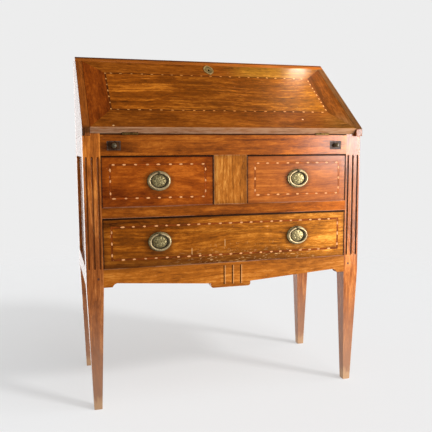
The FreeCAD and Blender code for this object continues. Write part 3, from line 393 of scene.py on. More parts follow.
def bare_softwood(name, along, board, planks=None):
    """Planed softwood with brown growth lines, a few stains and a dry surface."""
    finish = Finish(name)
    x, y, z = finish.x, finish.y, finish.z
    run, across, depth = {"X": (x, z, y), "Y": (y, x, z), "Z": (z, x, y), "X flat": (x, y, z)}[along]
    sway = finish.noise(finish.vector(run * 1.7 + board * 3.3, board, 0.0)) - 0.5
    lines = finish.add("ShaderNodeTexWave", {"wave_type": "RINGS", "rings_direction": "X", "wave_profile": "SAW"},
                       {"Vector": finish.vector(run * 0.05 + board, across + sway * 0.05,
                                                depth + 0.05 + 0.01 * board),
                        "Scale": 42.0, "Distortion": 3.0, "Detail": 2.0, "Detail Scale": 0.6})["Fac"]
    stains = finish.noise(finish.vector(run * 5 + board, across * 8, depth * 8), 4.0, 0.6)
    fibres = finish.noise(finish.vector(run * 14, across * 380 + board, depth * 380), 3.0, 0.6)
    colour = finish.mix(lines ** 2.0, shade(212, 164, 104), shade(176, 120, 66))
    colour = finish.mix(stains.ease(0.45, 0.75) * 0.5, colour, shade(134, 92, 56))
    colour = finish.mix(fibres * 0.3, colour, shade(140, 96, 54))
    height = fibres * 0.5 + lines * 0.4
    if planks:
        seam = (x + 0.5).wrap(planks).ease(0.0016, 0.0006)
        colour = finish.mix(seam * 0.85, colour, shade(34, 22, 14))
        height = height - seam * 3.0
    return finish.close(height, 0.35, 0.0008, Base_Color=colour, Roughness=0.62 + fibres * 0.2 - lines * 0.08,
                        Specular_IOR_Level=0.25)


dress("back_panel", bare_softwood("back_boards", "Z", 2.0, planks=0.139))
dress("rear_rail", bare_softwood("rear_rail", "X", 5.0), soften=0.0008)
dress("drawer_runners", bare_softwood("drawer_runners", "Y", 7.0), soften=0.0005)
dress("loper_housings", bare_softwood("loper_housings", "Y", 9.0), soften=0.0005)

# ------------------------------------------------
# Writing bed, lock rail and top board: one-inch walnut boards. The bed is the fixed half of the
# writing surface; the top board's front edge is planed to the slope of the fall front.

board_colours = ((82, 38, 10), (150, 80, 26), (190, 116, 50))
polish("writing_bed", "X flat", board_colours, 41.0, (0.05, 0.70), gloss=0.36, soften=0.0008)
polish("lock_rail", "X flat", board_colours, 44.0, (0.10, 0.90), soften=0.0005)
top_z = 1.008


def dark_nose(finish, colour, rough):
    """The sloped front edge, rubbed golden, with a brown upper arris."""
    sloped = abs(up_slope(finish)[1] - lid_face).ease(0.0012, 0.0004)
    arris = finish.z.ease(top_z - 0.0065, top_z - 0.0035)
    colour = finish.mix(sloped * 0.5, colour, shade(152, 82, 18))
    return finish.mix(sloped * arris * 0.75, colour, shade(58, 24, 6)), rough, sloped * 0.3


polish("top_board", "X flat", board_colours, 47.0, (0.14, 0.93), size=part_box("top_board"), touch=dark_nose,
       soften=0.0010)

# ------------------------------------------------
# Pigeonholes: thin walnut shelves and dividers, housed into the gables and into each other, with
# a plain oiled surface that never had the outside's polish.

nook_colours = ((84, 44, 18), (150, 88, 40), (184, 120, 64))
polish("pigeonhole_shelves", "X flat", nook_colours, 51.0, (0.05, 0.60), gloss=0.42, varnish=0.2, soften=0.0005)
polish("pigeonhole_dividers", "Z side", nook_colours, 54.0, (0.02, 0.50), gloss=0.42, varnish=0.2, soften=0.0005)

# ------------------------------------------------
# Small drawers behind the fall front: walnut fronts with a turned wooden knob each, on thin walnut
# boxes that slide on the shelves. Their edges are rubbed bright by fingers.

for board, side in enumerate(("left", "right")):
    polish(f"{side}_small_drawer", "X", nook_colours, 57.0 + 3 * board, (0.80, 0.30), gloss=0.36, varnish=0.35,
           size=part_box(f"{side}_small_drawer"))

# ------------------------------------------------
# Lopers: two stained oak bars that slide out to carry the open fall front, each with a small turned
# knob of black horn let into its end. The ends are grimy from handling.

loper_colours = ((36, 22, 12), (74, 46, 26), (104, 70, 42))
for board, side in enumerate(("left", "right")):
    polish(f"{side}_loper", "Y", loper_colours, 63.0 + 2 * board, (0.30, 0.70), gloss=0.42, varnish=0.15,
           size=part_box(f"{side}_loper"), soften=0.0010)
    horn = Finish(f"{side}_loper_knob")
    turning = horn.spots(60, 1400, 60)
    bloom = horn.spots(240, 240, 240, 3.0, 0.6)
    horn_colour = horn.mix(bloom, shade(40, 34, 24), shade(108, 96, 70))
    dress(f"{side}_loper_knob", horn.close(turning, 0.15, 0.0003, Base_Color=horn_colour,
                                           Roughness=0.22 + bloom * 0.25, Coat_Weight=0.5 * bloom))

# ------------------------------------------------
# Drawers: two short and one long, walnut fronts lap-dovetailed to thin softwood sides, with a solid
# bottom slid into grooves from behind. The fronts are figured veneer cuts with rubbed edges.

pull_aside, upper_pull_z, long_pull_z = 0.20675, 0.641, 0.4715
pull_places = {"upper_left_drawer": [(-pull_aside, upper_pull_z)],
               "upper_right_drawer": [(pull_aside, upper_pull_z)],
               "long_drawer": [(-pull_aside, long_pull_z), (pull_aside, long_pull_z)]}
halo_half = (0.034, 0.030)


def gap_shadow_and_halo(drawer):
    """A painted shadow in the gap round a drawer front, darkest above it, where the surface is also matt, and a
    brown halo of dirt round each ring pull where polishing rags could not reach."""
    low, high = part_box(f"{drawer}_front")
    halo_z = pull_places[drawer][0][1] - 0.002

    def shaded_gap(finish, colour, rough):
        # painted shadow of the gap above, right and left of the front
        above = finish.z.ease(high.z - 0.0048, high.z - 0.0030)
        right = finish.x.ease(high.x - 0.0042, high.x - 0.0026)
        left = finish.x.ease(low.x + 0.0030, low.x + 0.0016)
        gap_shadow = (above * 0.93).higher(right * 0.88).higher(left * 0.70)
        wide, tall = (abs(finish.x) - pull_aside) / halo_half[0], (finish.z - halo_z) / halo_half[1]
        smear = finish.spots(70, 70, 70, 3.0, 0.6)
        halo = ((wide * wide + tall * tall) ** 0.5 + (smear - 0.5) * 0.5).ease(1.45, 0.95)
        colour = finish.mix(halo * 0.5, colour, shade(76, 38, 4))
        return finish.mix(gap_shadow, colour, shade(24, 8, 2)), rough + gap_shadow * 0.2 + halo * 0.1, gap_shadow

    return shaded_gap


deep_scratches = ((-0.0174, 0.4585), (-0.1153, 0.4404))


def scratched(finish, colour, rough):
    """The long drawer, painted brighter towards the right for the light that falls there, darker along its foot,
    with short pale scratches low in the middle and two deep ones above them, where chair backs have hit it."""
    # painted light: brighter towards the right
    colour = finish.tint(finish.x.ease(-0.25, 0.42), colour, (1.66, 2.15, 4.4))
    darker_foot = finish.z.ease(0.456, 0.412) * abs(finish.x + 0.08).ease(0.42, 0.18)
    colour = finish.mix(darker_foot * 0.55, colour, shade(62, 29, 4))
    strokes = finish.spots(60, 1, 460, 3.0, 0.6)
    dents = finish.noise(finish.vector(finish.x * 620, finish.y, finish.z * 80 + 5.0), 2.0, 0.6)
    where = abs(finish.x - 0.08).ease(0.32, 0.10) * abs(finish.z - 0.418).ease(0.030, 0.006)
    higher = abs(finish.x - 0.03).ease(0.20, 0.02) * abs(finish.z - 0.447).ease(0.026, 0.004)
    marks = strokes.ease(0.60, 0.66) * where + dents.ease(0.67, 0.71) * higher
    for x, z in deep_scratches:
        marks = marks + (abs(finish.x - x).ease(0.0015, 0.0007) * 0.8
                         * (abs(finish.z - z) + (dents - 0.5) * 0.02).ease(0.0115, 0.0075))
    marks = marks.lower(1.0)
    colour = finish.mix(marks * 0.8, colour, shade(226, 178, 118))
    return gap_shadow_and_halo("long_drawer")(finish, colour, rough + marks * 0.2)


front_cuts = {
    "upper_left_drawer": dict(colours=((88, 30, 2), (152, 71, 8), (196, 104, 26)), board=71.0, pith=(0.62, -0.13),
                              streak=0.5, cloud=2.0, lines=0.4, fleck=0.9, touch=gap_shadow_and_halo("upper_left_drawer")),
    "upper_right_drawer": dict(colours=((113, 51, 7), (167, 88, 24), (199, 116, 41)), board=75.0,
                               pith=(0.72, -0.10), streak=0.8, cloud=0.9, lines=0.5, fleck=0.8, film=0.20,
                               touch=gap_shadow_and_halo("upper_right_drawer")),
    "long_drawer": dict(colours=((70, 31, 2), (144, 75, 7), (194, 116, 30)), board=79.0, pith=(0.44, -0.10),
                        streak=1.2, cloud=0.9, lines=0.6, fleck=1.2, touch=scratched)}
for board, (drawer, cut) in enumerate(front_cuts.items()):
    polish(f"{drawer}_front", "X", **cut, size=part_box(f"{drawer}_front"), gloss=0.27, varnish=0.8, soften=0.0004)
    dress(f"{drawer}_box", bare_softwood(f"{drawer}_box", "Y", 81.0 + 2 * board))
    dress(f"{drawer}_bottom", bare_softwood(f"{drawer}_bottom", "X flat", 82.0 + 2 * board))

# ------------------------------------------------
# Stringing: a narrow inlaid band round each drawer front, dark walnut strips with short boxwood
# pieces let in at even steps. It is glued into a scratched groove and scraped flush.

band_width, dot_pitch = 0.005, 0.031


def stringing(name, low, high, strip, turned=None, pale=(230, 163, 106), dot=(0.0045, 0.0021), right=None):
    """Boxwood pieces along the band's four runs. turned gives the second way where the band lies on the slope, dot
    the pieces' half length and width, and right the closer pitch of the run at the right end, where the band is
    also painted brighter for the light that falls there."""
    finish = Finish(name)
    second = turned(finish) if turned else finish.z
    middle = [(a + b) / 2 for a, b in zip(low, high)]
    half_wide = (high[0] - low[0]) / 2
    along_x, along_second = finish.x - middle[0], second - middle[1]
    side = abs(along_x).ease(half_wide - band_width - 0.0006, half_wide - band_width - 0.0002)
    jitter = (finish.noise(finish.vector(along_x * 34, along_second * 34, 3.0), 1.0) - 0.5) * 0.010
    gap_x, gap_second = (along_x + jitter).wrap(dot_pitch), (along_second + jitter).wrap(dot_pitch)
    if right:
        beyond = along_x.ease(0.0, 0.01)
        gap_second = gap_second * (1 - beyond) + (along_second + jitter).wrap(right) * beyond
    gap = gap_x * (1 - side) + gap_second * side
    off_x = (finish.x - low[0]).lower(high[0] - finish.x) - band_width / 2
    off_second = (second - low[1]).lower(high[1] - second) - band_width / 2
    off = off_second * (1 - side) + off_x * side
    fibres = finish.spots(700, 700, 700)
    oval = ((gap / dot[0]) ** 2.0 + (off / dot[1]) ** 2.0) ** 0.5 + (fibres - 0.5) * 0.3
    piece = oval.ease(1.10, 0.85)
    stain = finish.spots(30, 30, 30, 3.0)
    box_wood = finish.mix(stain.ease(0.40, 0.70), shade(*pale), shade(*(0.86 * c for c in pale)))
    walnut = finish.mix(stain.ease(0.35, 0.65) * 0.6 + fibres * 0.4, shade(*strip),
                        shade(*(1.55 * c for c in strip)))
    walnut = finish.mix(abs(off).ease(0.0015, 0.0023) * 0.45, walnut, shade(52, 20, 2))
    # painted light: the band brighter towards its right end
    if right:
        box_wood = finish.tint(along_x.ease(0.10, 0.30), box_wood, (1.7, 2.0, 2.6))
        walnut = finish.tint(along_x.ease(0.20, 0.32), walnut, (3.0, 3.4, 4.0))
    colour = finish.mix(piece, walnut, box_wood)
    return finish.close(fibres * 0.6 + piece * 0.5, 0.2, 0.0004, Base_Color=colour, Roughness=0.40 + fibres * 0.12,
                        Coat_Weight=0.20 + fibres * 0.2, Coat_Roughness=0.14, Specular_IOR_Level=0.06)


band_strips = {"upper_left_drawer": (104, 46, 8), "upper_right_drawer": (120, 61, 20), "long_drawer": (94, 43, 8)}
for drawer, strip in band_strips.items():
    low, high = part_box(f"{drawer}_inlay")
    dress(f"{drawer}_inlay", stringing(f"{drawer}_inlay", (low.x, low.z), (high.x, high.z), strip))

# ------------------------------------------------
# Ring pulls: an oval plate stamped from brass sheet with a rosette, a cast eye at its top, a stem with
# a square nut behind the drawer front, and a loose oval ring that hangs in the eye.

plate_half = (0.033, 0.0275)
medallion_share, petal_count, pearl_count = 0.60, 4, 56
petal_middle, ray_middle = 0.18, 0.40
front_back = -0.170


def aged_brass(name, bright, dull, metal, pull_z=None, dished=False):
    """Lacquer-worn brass: bright where it is handled, brown in the hollows of the stamping. metal is lower
    where a dull skin covers it, pull_z is the height of a rosette, and dished is for the keyhole's plate."""
    finish = Finish(name)
    hollow = finish.add("ShaderNodeNewGeometry")["Pointiness"].ease(0.505, 0.455)
    if pull_z:
        wide, high = (abs(finish.x) - pull_aside) / plate_half[0], (finish.z - pull_z) / plate_half[1]
        out = (wide * wide + high * high) ** 0.5
        turn = wide.maths("ARCTAN2", high, wide) * petal_count
        rays = abs(turn.maths("COSINE", turn)).ease(0.42, 0.16)
        rays = rays * abs(out - ray_middle).ease(0.135, 0.10)
        petals = abs(turn.maths("SINE", turn)).ease(0.50, 0.20)
        petals = petals * abs(out - petal_middle).ease(0.10, 0.065)
        moat = abs(out - 0.735).ease(0.145, 0.115)
        edge = out.ease(0.88, 0.97)
        hollow = hollow.higher(rays * 0.9).higher(petals * 0.8).higher(moat).higher(edge * 0.5)
        hollow = hollow * finish.y.ease(front_y + 0.0015, front_y + 0.0005)
    if dished:
        hollow = hollow.higher(up_slope(finish)[1].ease(lid_face + 0.0013, lid_face + 0.0008) * 0.8)
    tarnish = finish.spots(120, 120, 120, 4.0, 0.62)
    grains = finish.spots(1500, 1500, 1500)
    colour = finish.mix(tarnish.ease(0.36, 0.70), shade(*bright), shade(*dull))
    colour = finish.mix(hollow * 0.85, colour, shade(46, 34, 14))
    rough = 0.42 + tarnish.ease(0.35, 0.75) * 0.16 + hollow * 0.15
    return finish.close(grains * 0.4 + tarnish * 0.6, 0.16, 0.0004, Base_Color=colour, Roughness=rough,
                        Metallic=metal - hollow * (0.6 * metal))


def swell(value, middle, width):
    """A rounded bead across the plate, 1 at its middle and 0 beyond its width."""
    away = (value - middle) / width
    return math.sqrt(1 - away * away) if abs(away) < 1 else 0.0


def stamped_height(out, turn):
    """How far the stamped plate stands off the drawer front, at a share of the way out and a turn round."""
    if out > medallion_share:
        sheet = 0.0014 * (swell(out, 0.94, 0.06) if out > 0.94 else 1.0) + 0.0002
        pearls = 0.5 + 0.5 * math.cos(pearl_count * turn)
        return sheet + 0.0006 * swell(out, 0.925, 0.04) * (0.35 + 0.65 * pearls)
    dome = 0.0011 + 0.0042 * math.sqrt(max(0.0, 1 - (out / medallion_share) ** 2))
    petals = abs(math.sin(petal_count * turn)) ** 0.7 * swell(out, petal_middle, 0.11)
    rays = abs(math.cos(petal_count * turn)) ** 0.7 * swell(out, ray_middle, 0.12)
    rim = swell(out, 0.555, 0.042)
    return dome + 0.0008 * petals + 0.0009 * rays + 0.0007 * rim + 0.0008 * swell(out, 0.0, 0.08)


def skin(mesh, rows):
    """Quads between rows of points that go round."""
    for lower, upper in zip(rows, rows[1:]):
        for i in range(len(lower)):
            j = (i + 1) % len(lower)
            mesh.faces.new((lower[i], lower[j], upper[j], upper[i]))


def turns(count, start=0.0):
    """Even turns round a full circle, the first of them that share of a step on."""
    return [2 * math.pi * (k + start) / count for k in range(count)]


eye_rise, eye_stand = 0.0221, 0.0070
eye_barrel = [(-2.4, 3.2), (-3.0, 3.7), (-2.9, 4.6), (-1.8, 5.4), (0.0, 5.6), (1.8, 5.4), (2.9, 4.6), (3.0, 3.7),
              (2.4, 3.2)]
nut_rings = [(0.0, 5.0), (0.6, 5.4), (3.4, 5.4), (4.0, 4.6), (4.1, 2.3), (5.2, 1.9), (5.6, 0.9)]


def add_pull_plate(mesh, x, z):
    """The stamped plate, the eye across its top, and the square nut on the stem's end, from sections in mm."""
    spokes, steps = 140, 44
    rows = [[mesh.verts.new((x + plate_half[0] * out * math.cos(t), front_y - stamped_height(out, t),
                             z + plate_half[1] * out * math.sin(t))) for t in turns(spokes)]
            for out in (k / steps for k in range(1, steps + 1))]
    crown = mesh.verts.new((x, front_y - stamped_height(0.0, 0.0), z))
    for i in range(spokes):
        mesh.faces.new((crown, rows[0][i], rows[0][(i + 1) % spokes]))
    back = [mesh.verts.new((v.co.x, front_y, v.co.z)) for v in rows[-1]]
    skin(mesh, [*rows, back])
    mesh.faces.new(back)
    eye_z, eye_y = z + eye_rise, front_y - eye_stand
    hoops = [[mesh.verts.new((x + wide / 1000, eye_y + reach / 1000 * math.cos(a),
                              eye_z + reach / 1000 * math.sin(a))) for a in turns(36)]
             for wide, reach in eye_barrel]
    skin(mesh, [*hoops, hoops[0]])
    collars = []
    for rise, reach in nut_rings:
        collar = []
        for a in turns(32, 0.5):
            squared = 0.92 / max(abs(math.cos(a)), abs(math.sin(a)), 0.76) if reach > 2.5 else 1.0
            away = reach / 1000 * squared
            collar.append(mesh.verts.new((x + away * math.cos(a), front_back + rise / 1000,
                                          eye_z + away * math.sin(a))))
        collars.append(collar)
    skin(mesh, collars)
    mesh.faces.new(collars[0])
    mesh.faces.new(collars[-1])


def set_out(name, data):
    """A new object in the scene, made of that mesh, lamp or camera."""
    made = bpy.data.objects.new(name, data)
    bpy.context.scene.collection.objects.link(made)
    return made


def new_piece(name, mesh, material, body, slot_name, *nodes):
    """Turns a built mesh into a smooth shaded piece that rides a body and stands for those nodes."""
    bmesh.ops.recalc_face_normals(mesh, faces=mesh.faces)
    data = bpy.data.meshes.new(name)
    mesh.to_mesh(data)
    mesh.free()
    data.materials.append(material)
    data.polygons.foreach_set("use_smooth", [True] * len(data.polygons))
    data.set_sharp_from_angle(angle=math.radians(42))
    piece = set_out(name, data)
    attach(piece, body)
    if nodes:
        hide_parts(*nodes)


for drawer, places in pull_places.items():
    plate_brass = aged_brass(f"{drawer}_stamped_brass", (188, 173, 124), (134, 119, 76), 0.6, pull_z=places[0][1])
    plates = bmesh.new()
    for x, z in places:
        add_pull_plate(plates, x, z)
    new_piece(f"{drawer}_pull_plates", plates, plate_brass, drawer, "brass", f"{drawer}_handle_plates")
ring_brass = aged_brass("ring_brass", (222, 200, 156), (182, 158, 112), 0.6)
for ring in ("upper_left_ring", "upper_right_ring", "long_left_ring", "long_right_ring"):
    dress(ring, ring_brass)

# ------------------------------------------------
# Hinges: two brass butts at the foot of the fall front. One leaf is let into the bed and carries the
# pin, the other into the lid's inner face, each held by three slotted screws.

hinge_brass = aged_brass("hinge_brass", (150, 118, 66), (74, 54, 26), 0.8)
dress("hinge_bed_leaves", hinge_brass)
dress("hinge_lid_leaves", hinge_brass)
screw_radius, slot_half, hinge_aside = 0.0026, 0.00042, 0.2835
screw_places = ((-0.0145, 0.0125), (0.0, 0.0150), (0.0145, 0.0125))


def add_screw(mesh, place):
    """A countersunk head with a filed slot, in a frame whose third axis points out of the leaf."""
    outline = [(screw_radius * math.cos(a), screw_radius * math.sin(a)) for a in turns(28)]
    for sign in (1, -1):
        edge = math.sqrt(screw_radius ** 2 - slot_half ** 2)
        arc = [p for p in outline if sign * p[1] > slot_half]
        arc.sort(key=lambda p: -p[0])
        half = [(edge, sign * slot_half), *arc, (-edge, sign * slot_half)]
        rows = [[mesh.verts.new(place @ Vector((a * shrink, b * (shrink if abs(b) > slot_half else 1), rise)))
                 for a, b in half] for shrink, rise in ((1.0, -0.0004), (1.0, 0.0001), (0.88, 0.00022))]
        skin(mesh, rows)
        mesh.faces.new(rows[-1])
        mesh.faces.new(rows[0])


out_of_lid = Matrix.Translation((0, hinge_y, bed_z)) @ Matrix.Rotation(slope, 4, "X")
for body, leaf in (("carcass", Matrix.Translation((0, hinge_y, bed_z))),
                   ("fall_front", out_of_lid @ Matrix.Rotation(math.pi, 4, "Y"))):
    screws = bmesh.new()
    for middle in (-hinge_aside, hinge_aside):
        for k, (aside, inward) in enumerate(screw_places):
            turned = Matrix.Rotation(0.6 + 1.1 * k + 9 * middle, 4, "Z")
            add_screw(screws, leaf @ Matrix.Translation((middle + aside, inward, 0.0)) @ turned)
    new_piece(f"{body}_hinge_screws", screws, hinge_brass, body, "brass")

# ------------------------------------------------
# Fall front: a walnut panel in a mitred frame, the long rails above and below and the stiles at the
# ends with their grain up the slope. Clamped flush, veneer-thin polish, hand-worn lower edge.

fresh_knocks = ((0.2315, 0.0448, 1.0), (-0.3278, 0.0085, 0.5))


def worn_lip(finish, colour, rough):
    """The lower end, where the polish is rubbed through and the wood has gone grey, a painted glare over the right
    corner, and two pale knocks, each at a place across and up the slope, in that strength."""
    up, out = up_slope(finish)
    lip = up.ease(0.0024, 0.0010)
    edge = (abs(out - lid_face) + up.ease(0.0, 0.006) * 0.01).ease(0.004, 0.001)
    grey = finish.spots(26, 160, 160, 4.0, 0.66)
    # painted glare on the lower right corner
    painted_glare = finish.x.ease(0.25, 0.36) * up.ease(0.10, 0.02)
    colour = finish.tint(painted_glare, colour, (1.05, 1.55, 4.5))
    colour = finish.mix(lip * (0.30 + 0.65 * grey.ease(0.30, 0.66)), colour, shade(166, 126, 96))
    for x, rise, fresh in fresh_knocks:
        away = ((finish.x - x) ** 2.0 + (up - rise) ** 2.0) ** 0.5
        colour = finish.mix(away.ease(0.0034, 0.0020) * fresh, colour, shade(255, 206, 138))
    return finish.mix(edge * 0.35, colour, shade(190, 140, 98)), rough + lip * 0.12, lip * 0.6


lid_panel_colours = ((57, 25, 2), (113, 57, 5), (167, 99, 25))
lid_rail_colours = ((64, 27, 2), (122, 62, 7), (160, 91, 23))
lid_stile_colours = {"left": ((62, 22, 1), (116, 50, 4), (150, 74, 13)),
                     "right": ((54, 22, 2), (104, 52, 7), (140, 78, 24))}
keyhole_up = 0.3113


def painted_light_ends(finish, colour, rough):
    """The panel's ends, painted brighter and more golden for the light that falls on them, the right one most, but
    less towards the top.
    """
    up = up_slope(finish)[0]
    # painted light on both ends of the panel
    colour = finish.tint(finish.x.ease(-0.02, -0.30) * 0.38, colour, (2.2, 2.05, 1.6))
    lit_share = finish.x.ease(0.08, 0.33) * (1 - up.ease(0.15, 0.27) * 0.50)
    return finish.tint(lit_share, colour, (2.35, 3.0, 2.0)), rough, 0.2 * lit_share


def keyhole_shade_and_light(finish, colour, rough):
    """Painted shade for the keyhole's dark hollow, on the wood under the plate, and a right half painted brighter
    for the light that falls there, like the panel.
    """
    lit_share = finish.x.ease(0.03, 0.15) * (1 - finish.x.ease(0.26, 0.33) * 0.55)
    colour = finish.tint(lit_share, colour, (1.42, 2.3, 3.6))
    below = up_slope(finish)[0] - keyhole_up + 0.003
    # painted shade: the wood seen through the plate's keyhole made near black
    grime = (((finish.x * 1.5) ** 2.0 + below * below) ** 0.5).ease(0.0115, 0.0100)
    return finish.mix(grime * 0.95, colour, shade(14, 9, 5)), rough, grime


polish("lid_panel", "slope across", lid_panel_colours, 91.0, (0.15, -0.05), streak=1.2, cloud=1.1, fleck=1.5,
       gloss=0.26, film=0.15, touch=painted_light_ends)
polish("lid_top_rail", "slope across", lid_rail_colours, 95.0, (0.33, -0.07), fleck=1.4, gloss=0.26, film=0.15,
       touch=keyhole_shade_and_light)
polish("lid_bottom_rail", "slope across", lid_rail_colours, 99.0, (0.02, -0.08), fleck=1.4, gloss=0.27,
       touch=worn_lip, soften=0.0010)
for board, side in enumerate(lid_stile_colours):
    polish(f"lid_{side}_stile", "slope", lid_stile_colours[side], 103.0 + 4 * board, (-0.37 + 0.74 * board, -0.09),
           streak=0.8, touch=worn_lip, soften=0.0010)

# ------------------------------------------------
# Stringing of the fall front: the same boxwood and walnut band, let in round the panel. Its pieces are
# smaller, closer together at the right end, and darker than the drawers' under a thicker polish.

lid_band_wide, lid_band_low, lid_band_high = 0.3294, 0.082, 0.2773
dress("lid_inlay", stringing("lid_inlay", (-lid_band_wide, lid_band_low), (lid_band_wide, lid_band_high),
                             (60, 27, 4), turned=lambda finish: up_slope(finish)[0], pale=(206, 142, 76),
                             dot=(0.0038, 0.0017), right=0.0205))

# ------------------------------------------------
# Lock: a forged steel case let into the lid's inner face, with a bolt that a key throws up into the
# lock rail. Filed bright once, now brown in the corners.


def filed_steel(name, grain):
    """Steel with file marks, so many to the metre each way, and brown rust."""
    finish = Finish(name)
    files = finish.spots(*grain)
    rust = finish.spots(90, 90, 90, 4.0, 0.65)
    colour = finish.mix(rust.ease(0.46, 0.70), shade(150, 146, 138), shade(86, 62, 46))
    return finish.close(files, 0.18, 0.0004, Base_Color=colour, Roughness=0.30 + rust.ease(0.4, 0.7) * 0.35,
                        Metallic=1 - rust.ease(0.5, 0.75) * 0.5)


dress("lid_lock", filed_steel("lock_case", (30, 900, 900)), soften=0.0004)
dress("lid_lock_bolt", filed_steel("lock_bolt", (900, 40, 40)), soften=0.0003)

# ------------------------------------------------
# Keyhole plate: a pointed oval stamped from brass sheet, dished inside a raised rim, with the keyhole
# sawn through it and a round-headed pin near each point.

keyhole_brass = aged_brass("keyhole_brass", (212, 180, 118), (150, 122, 66), 0.7, dished=True)
plate_wide, plate_tall = 0.016, 0.028
curve_radius = (plate_wide ** 2 + plate_tall ** 2) / (2 * plate_wide)
key_round, key_slot, key_drop = 0.0036, 0.0024, 0.0100
pin_away, pin_radius, pin_crown = 0.0215, 0.0016, 0.0012


def rim_reach(turn):
    """From the keyhole's middle to the pointed oval's outline."""
    offset = curve_radius - plate_wide
    across = offset * abs(math.cos(turn))
    return -across + math.sqrt(max(0.0, across ** 2 + curve_radius ** 2 - offset ** 2))


def hole_reach(turn):
    """From the keyhole's middle to its edge: a round with a slot below it."""
    if math.sin(turn) >= 0:
        return key_round
    return max(key_round, min(key_slot / max(abs(math.cos(turn)), 1e-9), key_drop / -math.sin(turn)))


keyhole_plate = bmesh.new()


def plate_point(reach, turn, up, rise):
    """A point of the plate on the lid, at a reach and turn from a middle so far up the keyhole's line."""
    place = (reach * math.cos(turn), keyhole_up + up + reach * math.sin(turn), lid_face + rise)
    return keyhole_plate.verts.new(out_of_lid @ Vector(place))


plate_section = [(0.0, 0.0), (0.0, 0.0010), (0.06, 0.0013), (0.16, 0.0011), (0.30, 0.0007), (0.66, 0.0009),
                 (0.80, 0.0014), (0.88, 0.0017), (0.95, 0.0014), (1.0, 0.0006), (1.0, 0.0)]
rows = [[plate_point(hole_reach(turn) + (rim_reach(turn) - hole_reach(turn)) * out, turn, 0.0, rise)
         for turn in turns(160, 0.5)] for out, rise in plate_section]
skin(keyhole_plate, [*rows, rows[0]])
for away in (-pin_away, pin_away):
    cap = [[plate_point(pin_radius * math.cos(lift), turn, away, 0.0008 + pin_crown * math.sin(lift))
            for turn in turns(20)] for lift in (0.0, 0.5, 0.9, 1.3)]
    skin(keyhole_plate, cap)
    keyhole_plate.faces.new(cap[0])
    keyhole_plate.faces.new(cap[-1])
new_piece("keyhole_plate", keyhole_plate, keyhole_brass, "fall_front", "brass", "lid_escutcheon")

# ------------------------------------------------
# Studio: a pale paper floor that fades into an even pale background. Two soft boxes stand at the right, small
# lamps light the top of the lid, weak fills come from above and behind, and two keys reach the floor alone.
# Only the desk is part of the model.

paper_grey = 0.847
floor_mesh = bmesh.new()
bmesh.ops.create_grid(floor_mesh, x_segments=8, y_segments=8, size=6.0)
floor_data = bpy.data.meshes.new("floor")
floor_mesh.to_mesh(floor_data)
floor_mesh.free()
floor = set_out("floor", floor_data)
paper = Finish("floor_paper")
paper_tooth = paper.noise(paper.vector(paper.x * 40, paper.y * 40, 0.0), 3.0)
paper_cover = paper.add("ShaderNodeBsdfDiffuse", {}, {"Color": (0.398, 0.404, 0.41),
                                                      "Normal": paper.bump(paper_tooth, 0.02, 0.001)})["BSDF"]
paper_glow = paper.add("ShaderNodeEmission", {}, {"Color": (1.0, 1.0, 1.0), "Strength": 0.475})["Emission"]
paper_cover = paper.add("ShaderNodeAddShader", {}, {"Shader": paper_cover, "Shader_001": paper_glow})["Shader"]
paper_gone = paper.add("ShaderNodeBsdfTransparent")["BSDF"]
far = (paper.x * paper.x + paper.y * paper.y) ** 0.5
paper_shader = paper.add("ShaderNodeMixShader", {}, {"Fac": far.ease(1.5, 2.9), "Shader": paper_cover,
                                                     "Shader_001": paper_gone})["Shader"]
paper.add("ShaderNodeOutputMaterial", {}, {"Surface": paper_shader})
floor_data.materials.append(paper.material)
floor.visible_glossy = False

world = bpy.data.worlds.new("studio")
bpy.context.scene.world = world
studio = Finish("studio_air", world)
way = studio.add("ShaderNodeSeparateXYZ", {}, {"Vector": studio.add("ShaderNodeTexCoord")["Generated"]})
ray = studio.add("ShaderNodeLightPath")
backdrop = way["Y"].ease(0.70, 0.92) * abs(way["Z"] + 0.05).ease(0.50, 0.25)
filled, mirrored, paper_wall = (
    studio.add("ShaderNodeBackground", {}, {"Color": (grey,) * 3, "Strength": strength})["Background"]
    for grey, strength in ((1.0, 0.28), (1.0, 0.03 + backdrop * 2.6), (paper_grey, 1.0)))
air = filled
for rays, seen in (("Is Glossy Ray", mirrored), ("Is Camera Ray", paper_wall)):
    air = studio.add("ShaderNodeMixShader", {}, {"Fac": ray[rays], "Shader": air, "Shader_001": seen})["Shader"]
studio.add("ShaderNodeOutputWorld", {}, {"Surface": air})

off_floor = bpy.data.collections.new("lights_that_pass_the_floor")
off_floor.objects.link(floor)
off_floor.collection_objects[0].light_linking.link_state = "EXCLUDE"


def soft_box(name, place, target, wide, tall, power, colour=(1, 1, 1), shine=True):
    """A diffused lamp that faces a point, misses the floor and is not seen itself, except as shine on polish."""
    lamp = bpy.data.lights.new(name, "AREA")
    lamp.shape, lamp.size, lamp.size_y = "RECTANGLE", wide, tall
    lamp.energy, lamp.color = power, colour
    rig = set_out(name, lamp)
    rig.location = place
    rig.rotation_euler = (Vector(target) - Vector(place)).to_track_quat("-Z", "Y").to_euler()
    rig.visible_camera, rig.visible_glossy = False, shine
    rig.light_linking.receiver_collection = off_floor
    return rig


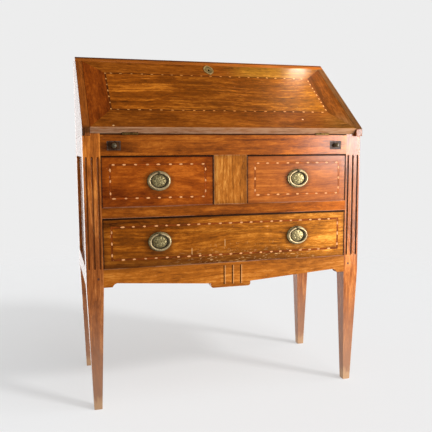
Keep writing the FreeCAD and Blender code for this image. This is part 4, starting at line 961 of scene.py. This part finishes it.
soft_box("right_soft_box", (1.00, -0.80, 0.62), (0.15, -0.15, 0.54), 0.5, 0.8, 17, (1.0, 0.96, 0.91))
soft_box("glare_soft_box", (1.23, -1.77, 0.78), (0.37, -0.19, 0.72), 0.36, 0.26, 9.5, (0.97, 0.98, 1.0))
overhead = soft_box("overhead_soft_box", (0.94, 0.62, 2.30), (0.317, 0.066, 0.993), 0.09, 0.022, 1.25,
                    (1.0, 0.88, 0.68))
overhead.rotation_euler.rotate_axis("Z", math.radians(43))
soft_box("lid_lamp", (0.42, 0.0, 1.32), (0.22, 0.04, 0.95), 0.16, 0.16, 2.9, (1.0, 0.94, 0.80), shine=False)
soft_box("top_fill", (-0.45, -0.55, 2.2), (-0.05, 0.0, 0.9), 1.2, 0.9, 16, shine=False)
soft_box("rear_fill", (-0.7, 2.3, 1.3), (0.0, 0.2, 0.6), 1.6, 1.4, 30, shine=False)

key_way = Vector((-0.591, 0.549, -0.591))
only_floor = bpy.data.collections.new("keys_reach_the_floor")
only_floor.objects.link(floor)
for name, power, spread in (("broad_key", 1.96, 76), ("narrow_key", 1.50, 10)):
    key = bpy.data.lights.new(name, "SUN")
    key.energy, key.angle = power, math.radians(spread)
    key_rig = set_out(name, key)
    key_rig.rotation_euler = key_way.to_track_quat("-Z", "Y").to_euler()
    key_rig.light_linking.receiver_collection = only_floor

camera_place = Vector((-0.4939, -1.7658, 0.7262))
yaw, pitch, roll = 0.2781, -0.1145, -0.0048
ahead = Vector((math.sin(yaw), math.cos(yaw), 0))
right = Vector((math.cos(yaw), -math.sin(yaw), 0))
up = Vector((0, 0, 1))
forward = ahead * math.cos(pitch) + up * math.sin(pitch)
above = up * math.cos(pitch) - ahead * math.sin(pitch)
side_way = right * math.cos(roll) + above * math.sin(roll)
above = above * math.cos(roll) - right * math.sin(roll)
lens = bpy.data.cameras.new("camera")
lens.sensor_width, lens.lens = 36.0, 48.21
camera = set_out("camera", lens)
camera.matrix_world = Matrix.Translation(camera_place) @ Matrix((side_way, above, -forward)).transposed().to_4x4()
bpy.context.scene.camera = camera
bpy.context.scene.view_settings.view_transform = "Standard"
